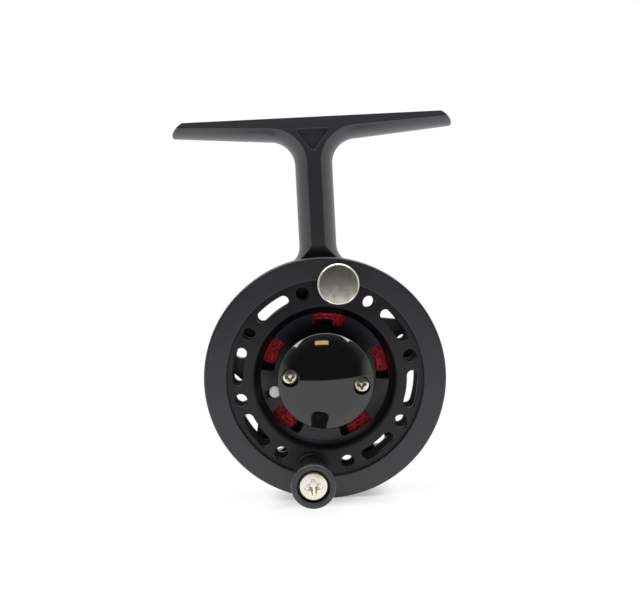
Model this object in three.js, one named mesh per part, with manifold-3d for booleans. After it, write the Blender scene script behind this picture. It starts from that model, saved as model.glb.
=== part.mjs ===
// Single-action fly reel with a long stem: a ported spool on ball bearings in a one-piece frame.
// Millimetres, +Z up. The foot's seat face is at the origin, the spool turns about Y and its front faces -Y.
// Most sizes are given about the spool axis, as a radius and a depth behind the spool ring's front face.

import * as THREE from 'three';
import { mergeVertices } from 'three/addons/utils/BufferGeometryUtils.js';
import Module from 'manifold-3d';

const wasm = await Module();
wasm.setup();

// Whole reel
const stemHeight = 34.5;
const footLength = 70;
const footSetback = 2.5;
const handleAngle = 259.4;

// Clearances
const seatGap = 0.3;
const fitGap = 0.15;
const runningGap = 0.8;
const cutOverrun = 1;

// Foot and stem
const footEndBevelLength = 3;
const footEndBevelDrop = 2.2;
const footTipThickness = 3.1;
const footThickness = 5.1;
const footTipChamfer = 1.8;
const stemWidth = 9.4;
const flankInset = 3;
const flankDepth = 3.6;
const stemFillet = 6.2;
const stemFlareRise = 2.8;
const stemFlareOut = 4;
const stemBevel = 2.5;
const pocketWidth = 8.6;
const pocketHeight = 5.7;
const pocketDrop = 2.8;
const pocketDepth = 1;
const pocketCorner = 0.6;
const undersideInsetShare = 0.9;
const tipInsetShare = 0.6;
const flankStartAngle = 40;

// Frame behind the spool
const plateThickness = 3.3;
const frameRingWidth = 3.8;
const frameChamfer = 0.5;
const armEndHalfWidth = 4.58;
const windowWeb = 2;
const windowCorner = 1.8;
const armHoleRadius = 2;
const armHoleInset = 4.2;
const rearHubInset = 1.9;
const rearHubHeight = 3.2;
const rearHubWall = 1.9;
const rearHubChamfer = 0.8;
const bridgeHalfAngle = 24;
const bridgeThickness = 2.1;
const armCount = 5;

// Spool front: palming ring, holed annulus, bowl
const ringBand = 5.6;
const ringThickness = 2.5;
const ringChamfer = 0.5;
const annulusWidth = 7.1;
const annulusRecess = 1;
const bowlWallTaper = 1;
const bowlDepth = 5.3;
const bowlRise = 0.8;
const bowlWall = 1.2;
const bowlEdge = 0.5;
const holeOffset = 0.82;
const roundHoleRadius = 1.6;
const slotHalfWidth = 1.35;
const slotHalfAngle = 8.9;
const patternTurn = -3;
const roundHoleAngles = [15, 60, 105, 150, 195, 240, 285, 330];
const slotAngles = [37.5, 127.5, 172.5, 217.5, 307.5, 352.5];
const portCount = 5;
const portAngle = 11;
const portLength = 3.1;
const portEdge = 0.3;
const portHalfAngle = 16.5;
const portCorner = 0.8;

// Spool hub, back flange and line
const sleeveWall = 1.05;
const hubCoreOverhang = 0.2;
const lineSlotWidth = 3.4;
const backFlangeGap = 0.6;
const backFlangeThickness = 1.4;
const backFlangeRim = 0.8;
const lineThickness = 0.6;
const lineGap = 0.43;
const lineProud = 1;
const lineBend = 1;

// Hub cap and its screws
const capShell = 5.5;
const capToPort = 1.2;
const capRise = 4.9;
const capDomeHeight = 3.6;
const capBevel = 0.45;
const capHeadroom = 0.75;
const capNutSpace = 1.5;
const capScrewInset = 2.95;
const capScrewAngle = -9.2;
const capScrewHeadRadius = 1.95;
const capScrewHeadHeight = 1.3;
const capScrewSink = 0.2;
const capScrewShankRadius = 1;
const capScrewShort = 1.3;

// Spindle and bearings
const spindleRadius = 2;
const spindleThreadShrink = 0.4;
const raceThickness = 0.95;
const raceSpacing = 0.95;
const bearingWidth = 3.2;
const ballBite = 0.325;
const ballGap = 0.12;
const cageThickness = 0.35;
const cageWidth = 0.8;
const ballCount = 7;
const frontBearingRise = 2;
const lockNutHeight = 1.3;
const lockNutLand = 0.7;
const shoulderHeight = 1;
const shoulderStep = 0.9;
const rearNutHeight = 2;
const rearNutLand = 1.6;
const rearWasherThickness = 0.5;
const rearStud = 3.4;

// Click gear, plunger and spring
const clickTeeth = 24;
const clickGearRim = 0.7;
const clickToothHeight = 0.6;
const clickGearThickness = 2;
const clickToothTipShare = 0.16;
const plungerRadius = 0.7;
const plungerLength = 1.8;
const plungerPlaceShare = 0.6;
const clickBlockWidth = 8.4;
const clickBlockWall = 0.7;
const clickBlockEar = 1.1;
const clickScrewHeadRadius = 0.9;
const clickScrewHeadHeight = 0.7;
const clickScrewShank = 0.45;
const clickScrewBite = 1;
const springWire = 0.3;
const springTurns = 3;

// Drag: knob, pins, pressure plate and felt
const feltThickness = 0.7;
const feltWidth = 3.6;
const plateRingThickness = 1;
const dragRingInset = 0.1;
const dragPinRadius = 0.6;
const dragPinLand = 0.5;
const dragPinCount = 3;
const dragKnobOverhang = 0.4;
const dragKnobHeight = 6;
const dragKnobWall = 1.3;
const dragKnobChamfer = 0.6;
const dragKnobRibs = 16;
const dragKnobRibDepth = 0.5;

// Handle, counterweight and line pin
const handleInset = 0.9;
const padRadius = 4.6;
const knobBaseFlare = 0.4;
const knobWaistWall = 0.95;
const knobWaistShares = [0.12, 0.35, 0.62, 0.82];
const knobSwellShares = [0.6, 0, 0.32, 0.8];
const knobBaseGap = 0.9;
const knobLength = 15.2;
const knobChamfer = 0.7;
const knobRim = 1.35;
const knobRecessDepth = 2.3;
const knobSleeveWall = 0.8;
const knobScrewRadius = 1.4;
const knobScrewHeadRadius = 3.5;
const knobScrewHeadHeight = 1.4;
const knobScrewRoom = 0.4;
const postNutLand = 1;
const postNutHeight = 1.5;
const weightRadius = 5.15;
const weightThickness = 1.8;
const weightBevel = 0.6;
const weightStudRadius = 1.2;
const studEndRise = 0.3;
const linePinRadius = 1.3;
const linePinRise = 0.6;
const linePinShank = 0.7;
const linePinAngle = 194.3;

// Screw head details
const crossArmShare = 0.28;
const crossSpanShare = 1.25;
const crossDepthShare = 0.5;

// Facets
const fineSteps = 44;
const middleSteps = 26;
const raceSteps = 20;
const smallSteps = 12;
const tinySteps = 8;

// Radii that follow from the sizes above, from the spindle outwards
const threadRadius = spindleRadius - spindleThreadShrink;
const boreRadius = spindleRadius + fitGap;
const innerRaceOuter = boreRadius + raceThickness;
const outerRaceInner = innerRaceOuter + raceSpacing;
const bearingRadius = outerRaceInner + raceThickness;
const bearingSeatRadius = bearingRadius + fitGap;
const hubBoreRadius = innerRaceOuter + fitGap;
const hubSleeveRadius = bearingSeatRadius + sleeveWall;
const capRadius = hubSleeveRadius + capShell;
const capScrewReach = capRadius - capScrewInset;
const hubCoreRadius = capRadius + hubCoreOverhang;
const portInnerRadius = capRadius + capToPort;
const bottomRadius = portInnerRadius + portLength + portEdge;
const bowlRadius = bottomRadius + bowlWallTaper;
const ringInnerRadius = bowlRadius + annulusWidth;
const ringRadius = ringInnerRadius + ringBand;
const holeCircleRadius = (bowlRadius + ringInnerRadius) / 2 + holeOffset;
const handleReach = ringInnerRadius - handleInset;
const backFlangeRadius = ringRadius - bridgeThickness - backFlangeGap;
const rearHubRadius = bowlRadius - rearHubInset;
const hubRecessRadius = rearHubRadius - rearHubWall;
const shoulderRadius = spindleRadius + shoulderStep;
const lockNutRadius = spindleRadius + lockNutLand;
const rearNutRadius = spindleRadius + rearNutLand;
const clickTipRadius = hubSleeveRadius + clickGearRim + clickToothHeight;
const dragRingRadius = clickTipRadius - dragRingInset;
const feltInnerRadius = dragRingRadius - feltWidth;
const nutRoomRadius = rearNutRadius + seatGap * 2;
const dragPinReach = nutRoomRadius + dragPinLand + dragPinRadius;
const dragKnobRadius = dragRingRadius + dragKnobOverhang;
const knobSleeveRadius = knobScrewRadius + seatGap + knobSleeveWall;
const knobWaistRadius = knobSleeveRadius + fitGap + knobWaistWall;
const knobBaseRadius = knobWaistRadius + knobBaseFlare;
const knobRecessRadius = knobScrewHeadRadius + knobScrewRoom;
const knobFrontRadius = knobRecessRadius + knobRim;
const postNutRadius = knobScrewRadius + postNutLand;
const linePinReach = capRadius + fitGap + linePinRadius;
const axisDrop = ringRadius + stemHeight;

// Depths that follow from the sizes above
const annulusBack = ringThickness;
const floorRim = bowlDepth - bowlRise;
const floorBack = bowlDepth + bowlWall;
const backFlangeFront = floorBack + lineSlotWidth;
const backFlangeBack = backFlangeFront + backFlangeThickness;
const plateFront = backFlangeBack + runningGap;
const plateBack = plateFront + plateThickness;
const footWidth = plateBack - footSetback;
const rearHubBack = plateBack + rearHubHeight;
const recessFloor = rearHubBack - rearHubWall;
const gearFront = backFlangeBack + seatGap;
const gearBack = gearFront + clickGearThickness;
const feltFront = gearBack + seatGap;
const feltBack = feltFront + feltThickness;
const pressFront = feltBack + fitGap;
const pressBack = pressFront + plateRingThickness;
const frontBearingFront = -frontBearingRise;
const frontBearingBack = frontBearingFront + bearingWidth;
const rearBearingBack = gearFront;
const rearBearingFront = rearBearingBack - bearingWidth;
const shoulderFront = rearBearingBack + fitGap;
const shoulderBack = shoulderFront + shoulderHeight;
const lockNutBack = frontBearingFront - seatGap;
const lockNutFront = lockNutBack - lockNutHeight;
const spindleFront = lockNutFront - fitGap;
const capBase = bowlDepth - seatGap;
const capFront = -capRise;
const capCeiling = spindleFront - capHeadroom;
const rearWasherFront = rearHubBack + seatGap;
const rearWasherBack = rearWasherFront + rearWasherThickness;
const rearNutFront = rearWasherBack + seatGap;
const rearNutBack = rearNutFront + rearNutHeight;
const spindleRear = rearNutBack + rearStud;
const knobFaceFront = rearHubBack + seatGap;

// Angles are in degrees from +X towards +Z, as the front is looked at.
const radians = (degrees) => THREE.MathUtils.degToRad(degrees);
const around = (radius, degrees) => [radius * Math.cos(radians(degrees)), radius * Math.sin(radians(degrees))];
const range = (count) => Array.from({ length: count }, (_, index) => index);

// Closed mesh to solid, with seams merged and flattened triangles dropped
function solidOf(geometry) {
  const bare = geometry.clone();
  bare.deleteAttribute('normal');
  bare.deleteAttribute('uv');
  const merged = mergeVertices(bare);
  const corners = merged.index.array;
  const kept = [];
  for (let i = 0; i < corners.length; i += 3) {
    const [a, b, c] = [corners[i], corners[i + 1], corners[i + 2]];
    if (a !== b && b !== c && c !== a) kept.push(a, b, c);
  }
  return new wasm.Manifold(new wasm.Mesh({
    numProp: 3,
    vertProperties: new Float32Array(merged.attributes.position.array),
    triVerts: new Uint32Array(kept),
  }));
}

function meshSolid(positions, corners) {
  const geometry = new THREE.BufferGeometry();
  geometry.setAttribute('position', new THREE.Float32BufferAttribute(positions, 3));
  geometry.setIndex(corners);
  return solidOf(geometry);
}

function geometryOf(solid) {
  const mesh = solid.getMesh();
  const geometry = new THREE.BufferGeometry();
  geometry.setAttribute('position', new THREE.BufferAttribute(mesh.vertProperties, mesh.numProp));
  geometry.setIndex(new THREE.BufferAttribute(mesh.triVerts, 1));
  geometry.computeVertexNormals();
  return geometry;
}

function joined(first, ...others) {
  return others.reduce((sum, other) => sum.add(other), first);
}

function cut(solid, ...tools) {
  return tools.reduce((rest, tool) => rest.subtract(tool), solid);
}

// Turned solid about the spool axis, from [radius, depth] points in either direction
function turned(profile, steps) {
  const area = profile.reduce((sum, [r, d], i) => {
    const [nextR, nextD] = profile[(i + 1) % profile.length];
    return sum + r * nextD - nextR * d;
  }, 0);
  const points = area < 0 ? [...profile].reverse() : [...profile];
  if (points[0][0] > 0) points.push(points[0]);
  return solidOf(new THREE.LatheGeometry(points.map(([r, d]) => new THREE.Vector2(r, d)), steps));
}

function tube(inner, outer, front, back, steps) {
  return turned([[inner, front], [outer, front], [outer, back], [inner, back]], steps);
}

function rod(radius, front, back, steps) {
  return turned([[0, front], [radius, front], [radius, back], [0, back]], steps);
}

// Flat shape in X and Z, given thickness from one depth to another
function slab(shape, front, back, curveSteps) {
  const geometry = new THREE.ExtrudeGeometry(shape, {
    depth: back - front,
    bevelEnabled: false,
    curveSegments: curveSteps,
  });
  geometry.rotateX(Math.PI / 2);
  geometry.translate(0, back, 0);
  return solidOf(geometry);
}

function slabOf(points, front, back) {
  return slab(new THREE.Shape(points.map(([x, z]) => new THREE.Vector2(x, z))), front, back, 1);
}

// Same solid moved to a radius and an angle about the axis
function placed(solid, radius, degrees) {
  const [x, z] = around(radius, degrees);
  return solid.translate([x, 0, z]);
}

// Same solid turned about the axis, from +X towards +Z
function spun(solid, degrees) {
  return solid.rotate([0, -degrees, 0]);
}

// Outline with its sharp corners rounded over a reach along both sides
function softened(points, reach, steps) {
  const blunt = radians(25);
  return points.flatMap((corner, i) => {
    const before = points[(i + points.length - 1) % points.length];
    const after = points[(i + 1) % points.length];
    const into = [corner[0] - before[0], corner[1] - before[1]];
    const out = [after[0] - corner[0], after[1] - corner[1]];
    const turn = Math.atan2(into[0] * out[1] - into[1] * out[0], into[0] * out[0] + into[1] * out[1]);
    if (Math.abs(turn) < blunt) return [corner];
    const cutBack = Math.min(reach, Math.hypot(...into) / 2, Math.hypot(...out) / 2);
    const start = [0, 1].map((axis) => corner[axis] - into[axis] * cutBack / Math.hypot(...into));
    const end = [0, 1].map((axis) => corner[axis] + out[axis] * cutBack / Math.hypot(...out));
    return range(steps + 1).map((step) => {
      const t = step / steps;
      return [0, 1].map((axis) => (1 - t) ** 2 * start[axis] + 2 * t * (1 - t) * corner[axis] + t ** 2 * end[axis]);
    });
  });
}

// Slot with round ends, bent along a circle
function curvedSlot(radius, halfWidth, degrees, halfAngle) {
  const [from, to] = [radians(degrees - halfAngle), radians(degrees + halfAngle)];
  const [startX, startZ] = around(radius, degrees - halfAngle);
  const [endX, endZ] = around(radius, degrees + halfAngle);
  const shape = new THREE.Shape();
  shape.absarc(0, 0, radius + halfWidth, from, to, false);
  shape.absarc(endX, endZ, halfWidth, to, to + Math.PI, false);
  shape.absarc(0, 0, radius - halfWidth, to, from, true);
  shape.absarc(startX, startZ, halfWidth, from + Math.PI, from + 2 * Math.PI, false);
  return shape;
}

// Sector between two radii with small rounded corners
function sector(inner, outer, degrees, halfAngle, corner) {
  const edge = (radius, side) => [radius, degrees + side * halfAngle];
  const slack = (radius) => THREE.MathUtils.radToDeg(corner / radius);
  const shape = new THREE.Shape();
  const [low, high] = [degrees - halfAngle, degrees + halfAngle];
  shape.absarc(0, 0, outer, radians(low + slack(outer)), radians(high - slack(outer)), false);
  shape.quadraticCurveTo(...around(...edge(outer, 1)), ...around(outer - corner, high));
  shape.lineTo(...around(inner + corner, high));
  shape.quadraticCurveTo(...around(...edge(inner, 1)), ...around(inner, high - slack(inner)));
  shape.absarc(0, 0, inner, radians(high - slack(inner)), radians(low + slack(inner)), true);
  shape.quadraticCurveTo(...around(...edge(inner, -1)), ...around(inner + corner, low));
  shape.lineTo(...around(outer - corner, low));
  shape.quadraticCurveTo(...around(...edge(outer, -1)), ...around(outer, low + slack(outer)));
  return shape;
}

function hexagon(radius, front, back) {
  return slabOf(range(6).map((side) => around(radius, side * 60)), front, back);
}

// Cross recess in a screw head whose front face is at the given depth
function crossRecess(headRadius, headHeight, front) {
  const half = headRadius * crossArmShare / 2;
  const span = headRadius * crossSpanShare / 2;
  const back = front + headHeight * crossDepthShare;
  const bar = slabOf([[-span, -half], [span, -half], [span, half], [-span, half]], front - cutOverrun, back);
  return bar.add(spun(bar, 90));
}

// Pan-head screw pointing back from its head's front face
function panScrew(headRadius, headHeight, shankRadius, front, back) {
  const shoulder = front + headHeight;
  const edge = headHeight * crossDepthShare;
  const body = turned([
    [0, front],
    [headRadius - edge, front],
    [headRadius, front + edge],
    [headRadius, shoulder],
    [shankRadius, shoulder],
    [shankRadius, back],
    [0, back],
  ], smallSteps);
  return body.subtract(crossRecess(headRadius, headHeight, front));
}

// Layers of outlines, front first, joined into one closed solid
function lofted(layers) {
  const count = layers[0].points.length;
  const positions = layers.flatMap(({ depth, points }) => points.flatMap(([x, z]) => [x, depth, z]));
  const corners = [];
  for (const layer of range(layers.length - 1)) {
    for (const i of range(count)) {
      const next = (i + 1) % count;
      const [a, b] = [layer * count + i, layer * count + next];
      corners.push(a, b + count, b, a, a + count, b + count);
    }
  }
  const last = (layers.length - 1) * count;
  const flat = (points) => points.map(([x, z]) => new THREE.Vector2(x, z));
  for (const [a, b, c] of THREE.ShapeUtils.triangulateShape(flat(layers[0].points), [])) corners.push(a, b, c);
  for (const [a, b, c] of THREE.ShapeUtils.triangulateShape(flat(layers.at(-1).points), [])) {
    corners.push(last + a, last + c, last + b);
  }
  return meshSolid(positions, corners);
}

// Foot and stem seen from the front, drawn in by the flank's inset at one layer
function footOutline(inset) {
  const insetShare = inset / flankInset;
  const half = footLength / 2 - footTipChamfer * insetShare;
  const stemHalf = stemWidth / 2 - inset;
  const filletX = stemWidth / 2 + stemFillet;
  const filletZ = axisDrop - footThickness - stemFillet;
  const flareTop = ringRadius + stemFlareRise;
  const stemBase = ringRadius - bridgeThickness + seatGap;
  const flareDrop = flareTop - stemBase - seatGap;
  const tipBottom = axisDrop - footTipThickness + inset * tipInsetShare;
  const bevelStart = footLength / 2 - footEndBevelLength;
  const tipTop = axisDrop - footEndBevelDrop * (half - bevelStart) / footEndBevelLength;
  const right = [[stemHalf + stemFlareOut, stemBase]];
  for (const step of range(5)) {
    const turn = radians(90 - step * 22.5);
    right.push([stemHalf + stemFlareOut * (1 - Math.cos(turn)), flareTop - flareDrop * Math.sin(turn)]);
  }
  for (const step of range(6)) {
    const turn = radians(180 - step * 18);
    right.push([
      filletX + (stemFillet + inset) * Math.cos(turn),
      filletZ + (stemFillet + inset * undersideInsetShare) * Math.sin(turn),
    ]);
  }
  right.push([half, tipBottom], [half, tipTop], [bevelStart, axisDrop]);
  const left = [...right].reverse().map(([x, z]) => [-x, z]);
  return [...right, ...left];
}

// Foot and stem in one piece, flanks rounded away from the flat front and back strips
function footAndStem() {
  const share = (turn) => (1 - Math.sin(turn)) / (1 - Math.sin(radians(flankStartAngle)));
  const travel = (turn) => 1 - Math.cos(turn) / Math.cos(radians(flankStartAngle));
  const turns = range(4).map((step) => radians(flankStartAngle + (90 - flankStartAngle) * step / 3));
  const front = turns.map((turn) => ({
    depth: footSetback + flankDepth * travel(turn),
    points: footOutline(flankInset * share(turn)),
  }));
  const middle = footSetback + footWidth / 2;
  const back = [...front].reverse().map(({ depth, points }) => ({ depth: 2 * middle - depth, points }));
  const half = pocketWidth / 2;
  const pocketTop = axisDrop - pocketDrop;
  const pocket = softened([[-half, pocketTop], [0, pocketTop - pocketHeight], [half, pocketTop]], pocketCorner, 3);
  const clearanceBack = ringThickness + runningGap * 2;
  const ringClearance = turned([
    [0, -cutOverrun],
    [ringRadius + stemBevel + seatGap, -cutOverrun],
    [ringRadius + stemBevel + seatGap, footSetback],
    [ringRadius + seatGap, Math.max(clearanceBack, footSetback + seatGap)],
    [0, Math.max(clearanceBack, footSetback + seatGap)],
  ], fineSteps);
  return cut(
    lofted([...front, ...back]),
    slabOf(pocket, footSetback - cutOverrun, footSetback + pocketDepth),
    ringClearance,
  );
}

// Window between two arms of the star, which narrow outwards, centred on +X
function starWindow() {
  const outer = ringRadius - frameRingWidth;
  const armEndAngle = THREE.MathUtils.radToDeg(Math.asin(armEndHalfWidth / outer));
  const halfAngle = 180 / armCount - armEndAngle;
  const arc = range(9).map((step) => around(outer, -halfAngle + 2 * halfAngle * step / 8));
  return softened([[rearHubRadius + windowWeb, 0], ...arc], windowCorner, 3);
}

// Places of the click: its plunger rides on the teeth's crests and lifts away into a block screwed down above
const plungerDepth = gearFront + clickGearThickness * plungerPlaceShare;
const plungerTip = clickTipRadius + fitGap;
const plungerTop = plungerTip + plungerLength;
const blockBottom = clickTipRadius + seatGap;
const blockTop = Math.sqrt((hubRecessRadius - seatGap) ** 2 - (clickBlockWidth / 2) ** 2);
const blockBack = recessFloor - seatGap;
const springBottom = plungerTop + fitGap;
const springTop = blockTop - clickBlockWall - fitGap;
const clickScrewHeight = (blockBottom + blockTop) / 2;
const clickScrewReach = clickBlockWidth / 2 - clickBlockEar;

function frameSolid() {
  const outer = ringRadius;
  const disc = turned([
    [0, plateFront],
    [outer - frameChamfer, plateFront],
    [outer, plateFront + frameChamfer],
    [outer, plateBack - frameChamfer],
    [outer - frameChamfer, plateBack],
    [rearHubRadius, plateBack],
    [rearHubRadius, rearHubBack - rearHubChamfer],
    [rearHubRadius - rearHubChamfer, rearHubBack],
    [0, rearHubBack],
  ], fineSteps);
  const bridge = slab(
    sector(outer - bridgeThickness, outer, 90, bridgeHalfAngle, frameChamfer),
    ringThickness + runningGap,
    plateBack - frameChamfer,
    7,
  );
  const windowShape = slabOf(starWindow(), plateFront - cutOverrun, plateBack + cutOverrun);
  const windows = range(armCount).map((arm) => spun(windowShape, 90 + (arm + 0.5) * 360 / armCount));
  const armHole = rod(armHoleRadius, plateFront - cutOverrun, plateBack + cutOverrun, smallSteps);
  const armHoleReach = outer - frameRingWidth - armHoleInset;
  const armHoles = range(armCount).map((arm) => placed(armHole, armHoleReach, 90 + arm * 360 / armCount));
  const recess = tube(shoulderRadius + seatGap, hubRecessRadius, plateFront - cutOverrun, recessFloor, middleSteps);
  const postTop = rod(hubRecessRadius, plateFront - cutOverrun, shoulderBack + fitGap, middleSteps);
  const bore = rod(boreRadius, plateFront, rearHubBack + cutOverrun, smallSteps);
  const pinHole = rod(dragPinRadius + fitGap, recessFloor - cutOverrun, rearHubBack + cutOverrun, tinySteps);
  const pinHoles = range(dragPinCount).map((pin) => placed(pinHole, dragPinReach, 90 + pin * 360 / dragPinCount));
  const screwEnd = recessFloor + clickScrewBite + seatGap;
  const screwHole = rod(clickScrewShank + fitGap, recessFloor - cutOverrun, screwEnd, tinySteps);
  const screwHoles = [-1, 1].map((side) => screwHole.translate([side * clickScrewReach, 0, clickScrewHeight]));
  const plate = cut(disc, ...windows, ...armHoles, recess, postTop, bore, ...pinHoles, ...screwHoles);
  return joined(plate, bridge, footAndStem());
}

// Holes shared by both spool flanges, lined up with each other
function flangeHoles(front, back) {
  const round = rod(roundHoleRadius, front, back, smallSteps);
  const rounds = roundHoleAngles.map((angle) => placed(round, holeCircleRadius, angle + patternTurn));
  const slots = slotAngles.map((angle) => slab(
    curvedSlot(holeCircleRadius, slotHalfWidth, angle + patternTurn, slotHalfAngle),
    front,
    back,
    3,
  ));
  return [...rounds, ...slots];
}

const capScrewAngles = [capScrewAngle, capScrewAngle + 180];
const postAngles = [handleAngle, handleAngle - 180];

// Depth of the bowl's floor, which rises outwards from the cap
function floorDepth(radius) {
  const from = capRadius + seatGap;
  return bowlDepth - bowlRise * (radius - from) / (bottomRadius - bowlEdge - from);
}

function portOutline(degrees) {
  return sector(portInnerRadius, portInnerRadius + portLength, degrees, portHalfAngle, portCorner);
}

function frontFlangeSolid() {
  const body = turned([
    [hubSleeveRadius + seatGap, bowlDepth],
    [capRadius + seatGap, bowlDepth],
    [bottomRadius - bowlEdge, floorRim],
    [bottomRadius, floorRim - bowlEdge],
    [bowlRadius - bowlEdge / 2, annulusRecess + bowlEdge],
    [bowlRadius + bowlEdge / 2, annulusRecess],
    [ringInnerRadius - bowlEdge / 2, annulusRecess],
    [ringInnerRadius, 0],
    [ringRadius - ringChamfer, 0],
    [ringRadius, ringChamfer],
    [ringRadius, ringThickness - ringChamfer],
    [ringRadius - ringChamfer, ringThickness],
    [bowlRadius + bowlWall, annulusBack],
    [bottomRadius + bowlWall, floorBack - bowlEdge],
    [bottomRadius + bowlWall - bowlEdge, floorBack],
    [hubSleeveRadius + seatGap, floorBack],
  ], fineSteps);
  const pad = rod(padRadius, 0, annulusBack, smallSteps);
  const pads = postAngles.map((angle) => placed(pad, handleReach, angle));
  const ports = range(portCount).map((port) => slab(
    portOutline(portAngle + port * 360 / portCount),
    floorRim - cutOverrun,
    floorBack + cutOverrun,
    3,
  ));
  const screwHole = rod(capScrewShankRadius + seatGap, 0, floorBack + cutOverrun, tinySteps);
  const screwHoles = capScrewAngles.map((angle) => placed(screwHole, capScrewReach, angle));
  const handleHole = rod(knobScrewRadius + fitGap, -cutOverrun, floorBack, smallSteps);
  const weightHole = rod(weightStudRadius + fitGap, -cutOverrun, floorBack, smallSteps);
  const linePinHole = rod(linePinShank + fitGap, 0, floorBack + cutOverrun, smallSteps);
  return cut(
    joined(body, ...pads),
    ...flangeHoles(-cutOverrun, annulusBack + cutOverrun),
    ...ports,
    ...screwHoles,
    placed(handleHole, handleReach, postAngles[0]),
    placed(weightHole, handleReach, postAngles[1]),
    placed(linePinHole, linePinReach, linePinAngle),
  );
}

function hubSolid() {
  const coreFront = floorBack + seatGap;
  const coreBack = backFlangeFront - seatGap;
  const body = turned([
    [hubBoreRadius, frontBearingFront - seatGap],
    [hubSleeveRadius, frontBearingFront - seatGap],
    [hubSleeveRadius, coreFront],
    [hubCoreRadius, coreFront],
    [hubCoreRadius, coreBack],
    [hubSleeveRadius, coreBack],
    [hubSleeveRadius, gearBack],
    [hubBoreRadius, gearBack],
  ], middleSteps);
  const frontSeat = rod(bearingSeatRadius, frontBearingFront - cutOverrun, frontBearingBack + fitGap, middleSteps);
  const rearSeat = rod(bearingSeatRadius, rearBearingFront - fitGap, gearBack + cutOverrun, middleSteps);
  const screwHole = rod(
    capScrewShankRadius + seatGap,
    coreFront - cutOverrun,
    coreBack + cutOverrun,
    tinySteps,
  );
  return cut(body, frontSeat, rearSeat, ...capScrewAngles.map((angle) => placed(screwHole, capScrewReach, angle)));
}

function backFlangeSolid() {
  const rim = backFlangeRim / 2;
  const body = turned([
    [hubSleeveRadius + seatGap, backFlangeFront],
    [backFlangeRadius - rim, backFlangeFront],
    [backFlangeRadius, backFlangeFront + rim],
    [backFlangeRadius, backFlangeBack - rim],
    [backFlangeRadius - rim, backFlangeBack],
    [hubSleeveRadius + seatGap, backFlangeBack],
  ], fineSteps);
  return cut(body, ...flangeHoles(backFlangeFront - cutOverrun, backFlangeBack + cutOverrun));
}

// Wound line: a spiral over the core's front, a bend over its edge, then turns round its outside
const linePitch = lineThickness + lineGap;
const coreInner = hubCoreRadius + seatGap;
const lineFaceDepth = floorBack + seatGap + lineThickness / 2;
const lineSideRadius = bowlRadius + lineProud - lineThickness / 2;
const coreStandOff = lineThickness / 2 + seatGap;
const coreRear = backFlangeFront - seatGap;
const loopSteps = 24;

function lineCore() {
  const front = lineFaceDepth + coreStandOff;
  const outer = lineSideRadius - coreStandOff;
  return turned([
    [coreInner, front],
    [lineSideRadius - lineBend, front],
    [outer, lineFaceDepth + lineBend],
    [outer, coreRear],
    [coreInner, coreRear],
  ], middleSteps);
}

function linePath() {
  const faceStart = coreInner + lineThickness;
  const faceEnd = lineSideRadius - lineBend;
  const sideStart = lineFaceDepth + lineBend;
  const sideEnd = coreRear - lineThickness / 2;
  const faceLoops = Math.floor((faceEnd - faceStart) / linePitch);
  const sideLoops = Math.max(0, Math.floor((sideEnd - sideStart) / linePitch));
  const total = faceLoops + 1 + sideLoops;
  return range(total * loopSteps + 1).map((step) => {
    const loop = step / loopSteps;
    const onFace = Math.min(loop / faceLoops, 1);
    const bend = radians(90 * Math.min(Math.max(loop - faceLoops, 0), 1));
    const onSide = sideLoops > 0 ? Math.max(loop - faceLoops - 1, 0) / sideLoops : 0;
    const reach = faceStart + (faceEnd - faceStart) * onFace + lineBend * Math.sin(bend);
    const depth = lineFaceDepth + lineBend * (1 - Math.cos(bend)) + (sideEnd - sideStart) * onSide;
    const [x, z] = around(reach, loop * 360);
    return new THREE.Vector3(x, depth, z);
  });
}

// Inner end turned straight in towards the hub, outer end straight on
function windingSolid(points) {
  const inward = new THREE.Vector3(-points[0].x, 0, -points[0].z).setLength(lineThickness);
  const onward = points.at(-1).clone().sub(points.at(-2)).setLength(lineThickness);
  const path = [points[0].clone().add(inward), ...points, points.at(-1).clone().add(onward)];
  return wireSolid(path, lineThickness, 6, new THREE.Vector3(0, 1, 0));
}

// Wire of flat sides along points; the reference is a direction that the wire never takes
function wireSolid(points, thickness, sides, reference) {
  const positions = [];
  points.forEach((point, i) => {
    const along = points[Math.min(i + 1, points.length - 1)].clone().sub(points[Math.max(i - 1, 0)]).normalize();
    const first = reference.clone().addScaledVector(along, -reference.dot(along)).normalize();
    const second = new THREE.Vector3().crossVectors(along, first);
    for (const side of range(sides)) {
      const turn = 2 * Math.PI * side / sides;
      const spot = point.clone();
      spot.addScaledVector(first, Math.cos(turn) * thickness / 2);
      spot.addScaledVector(second, Math.sin(turn) * thickness / 2);
      positions.push(spot.x, spot.y, spot.z);
    }
  });
  const corners = [];
  for (const ring of range(points.length - 1)) {
    for (const side of range(sides)) {
      const [a, b] = [ring * sides + side, ring * sides + (side + 1) % sides];
      corners.push(a, b, b + sides, a, b + sides, a + sides);
    }
  }
  const last = (points.length - 1) * sides;
  for (const side of range(sides - 2)) {
    corners.push(0, side + 2, side + 1);
    corners.push(last, last + side + 1, last + side + 2);
  }
  return meshSolid(positions, corners);
}

// Least distance between the skins of stretches of a wire that are half a turn or more apart
function leastGap(points, thickness, halfTurn) {
  let least = Infinity;
  points.forEach((point, i) => {
    for (const other of points.slice(i + halfTurn)) least = Math.min(least, point.distanceTo(other));
  });
  return least - thickness;
}

const capScrewFront = capFront + capScrewSink;

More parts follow.
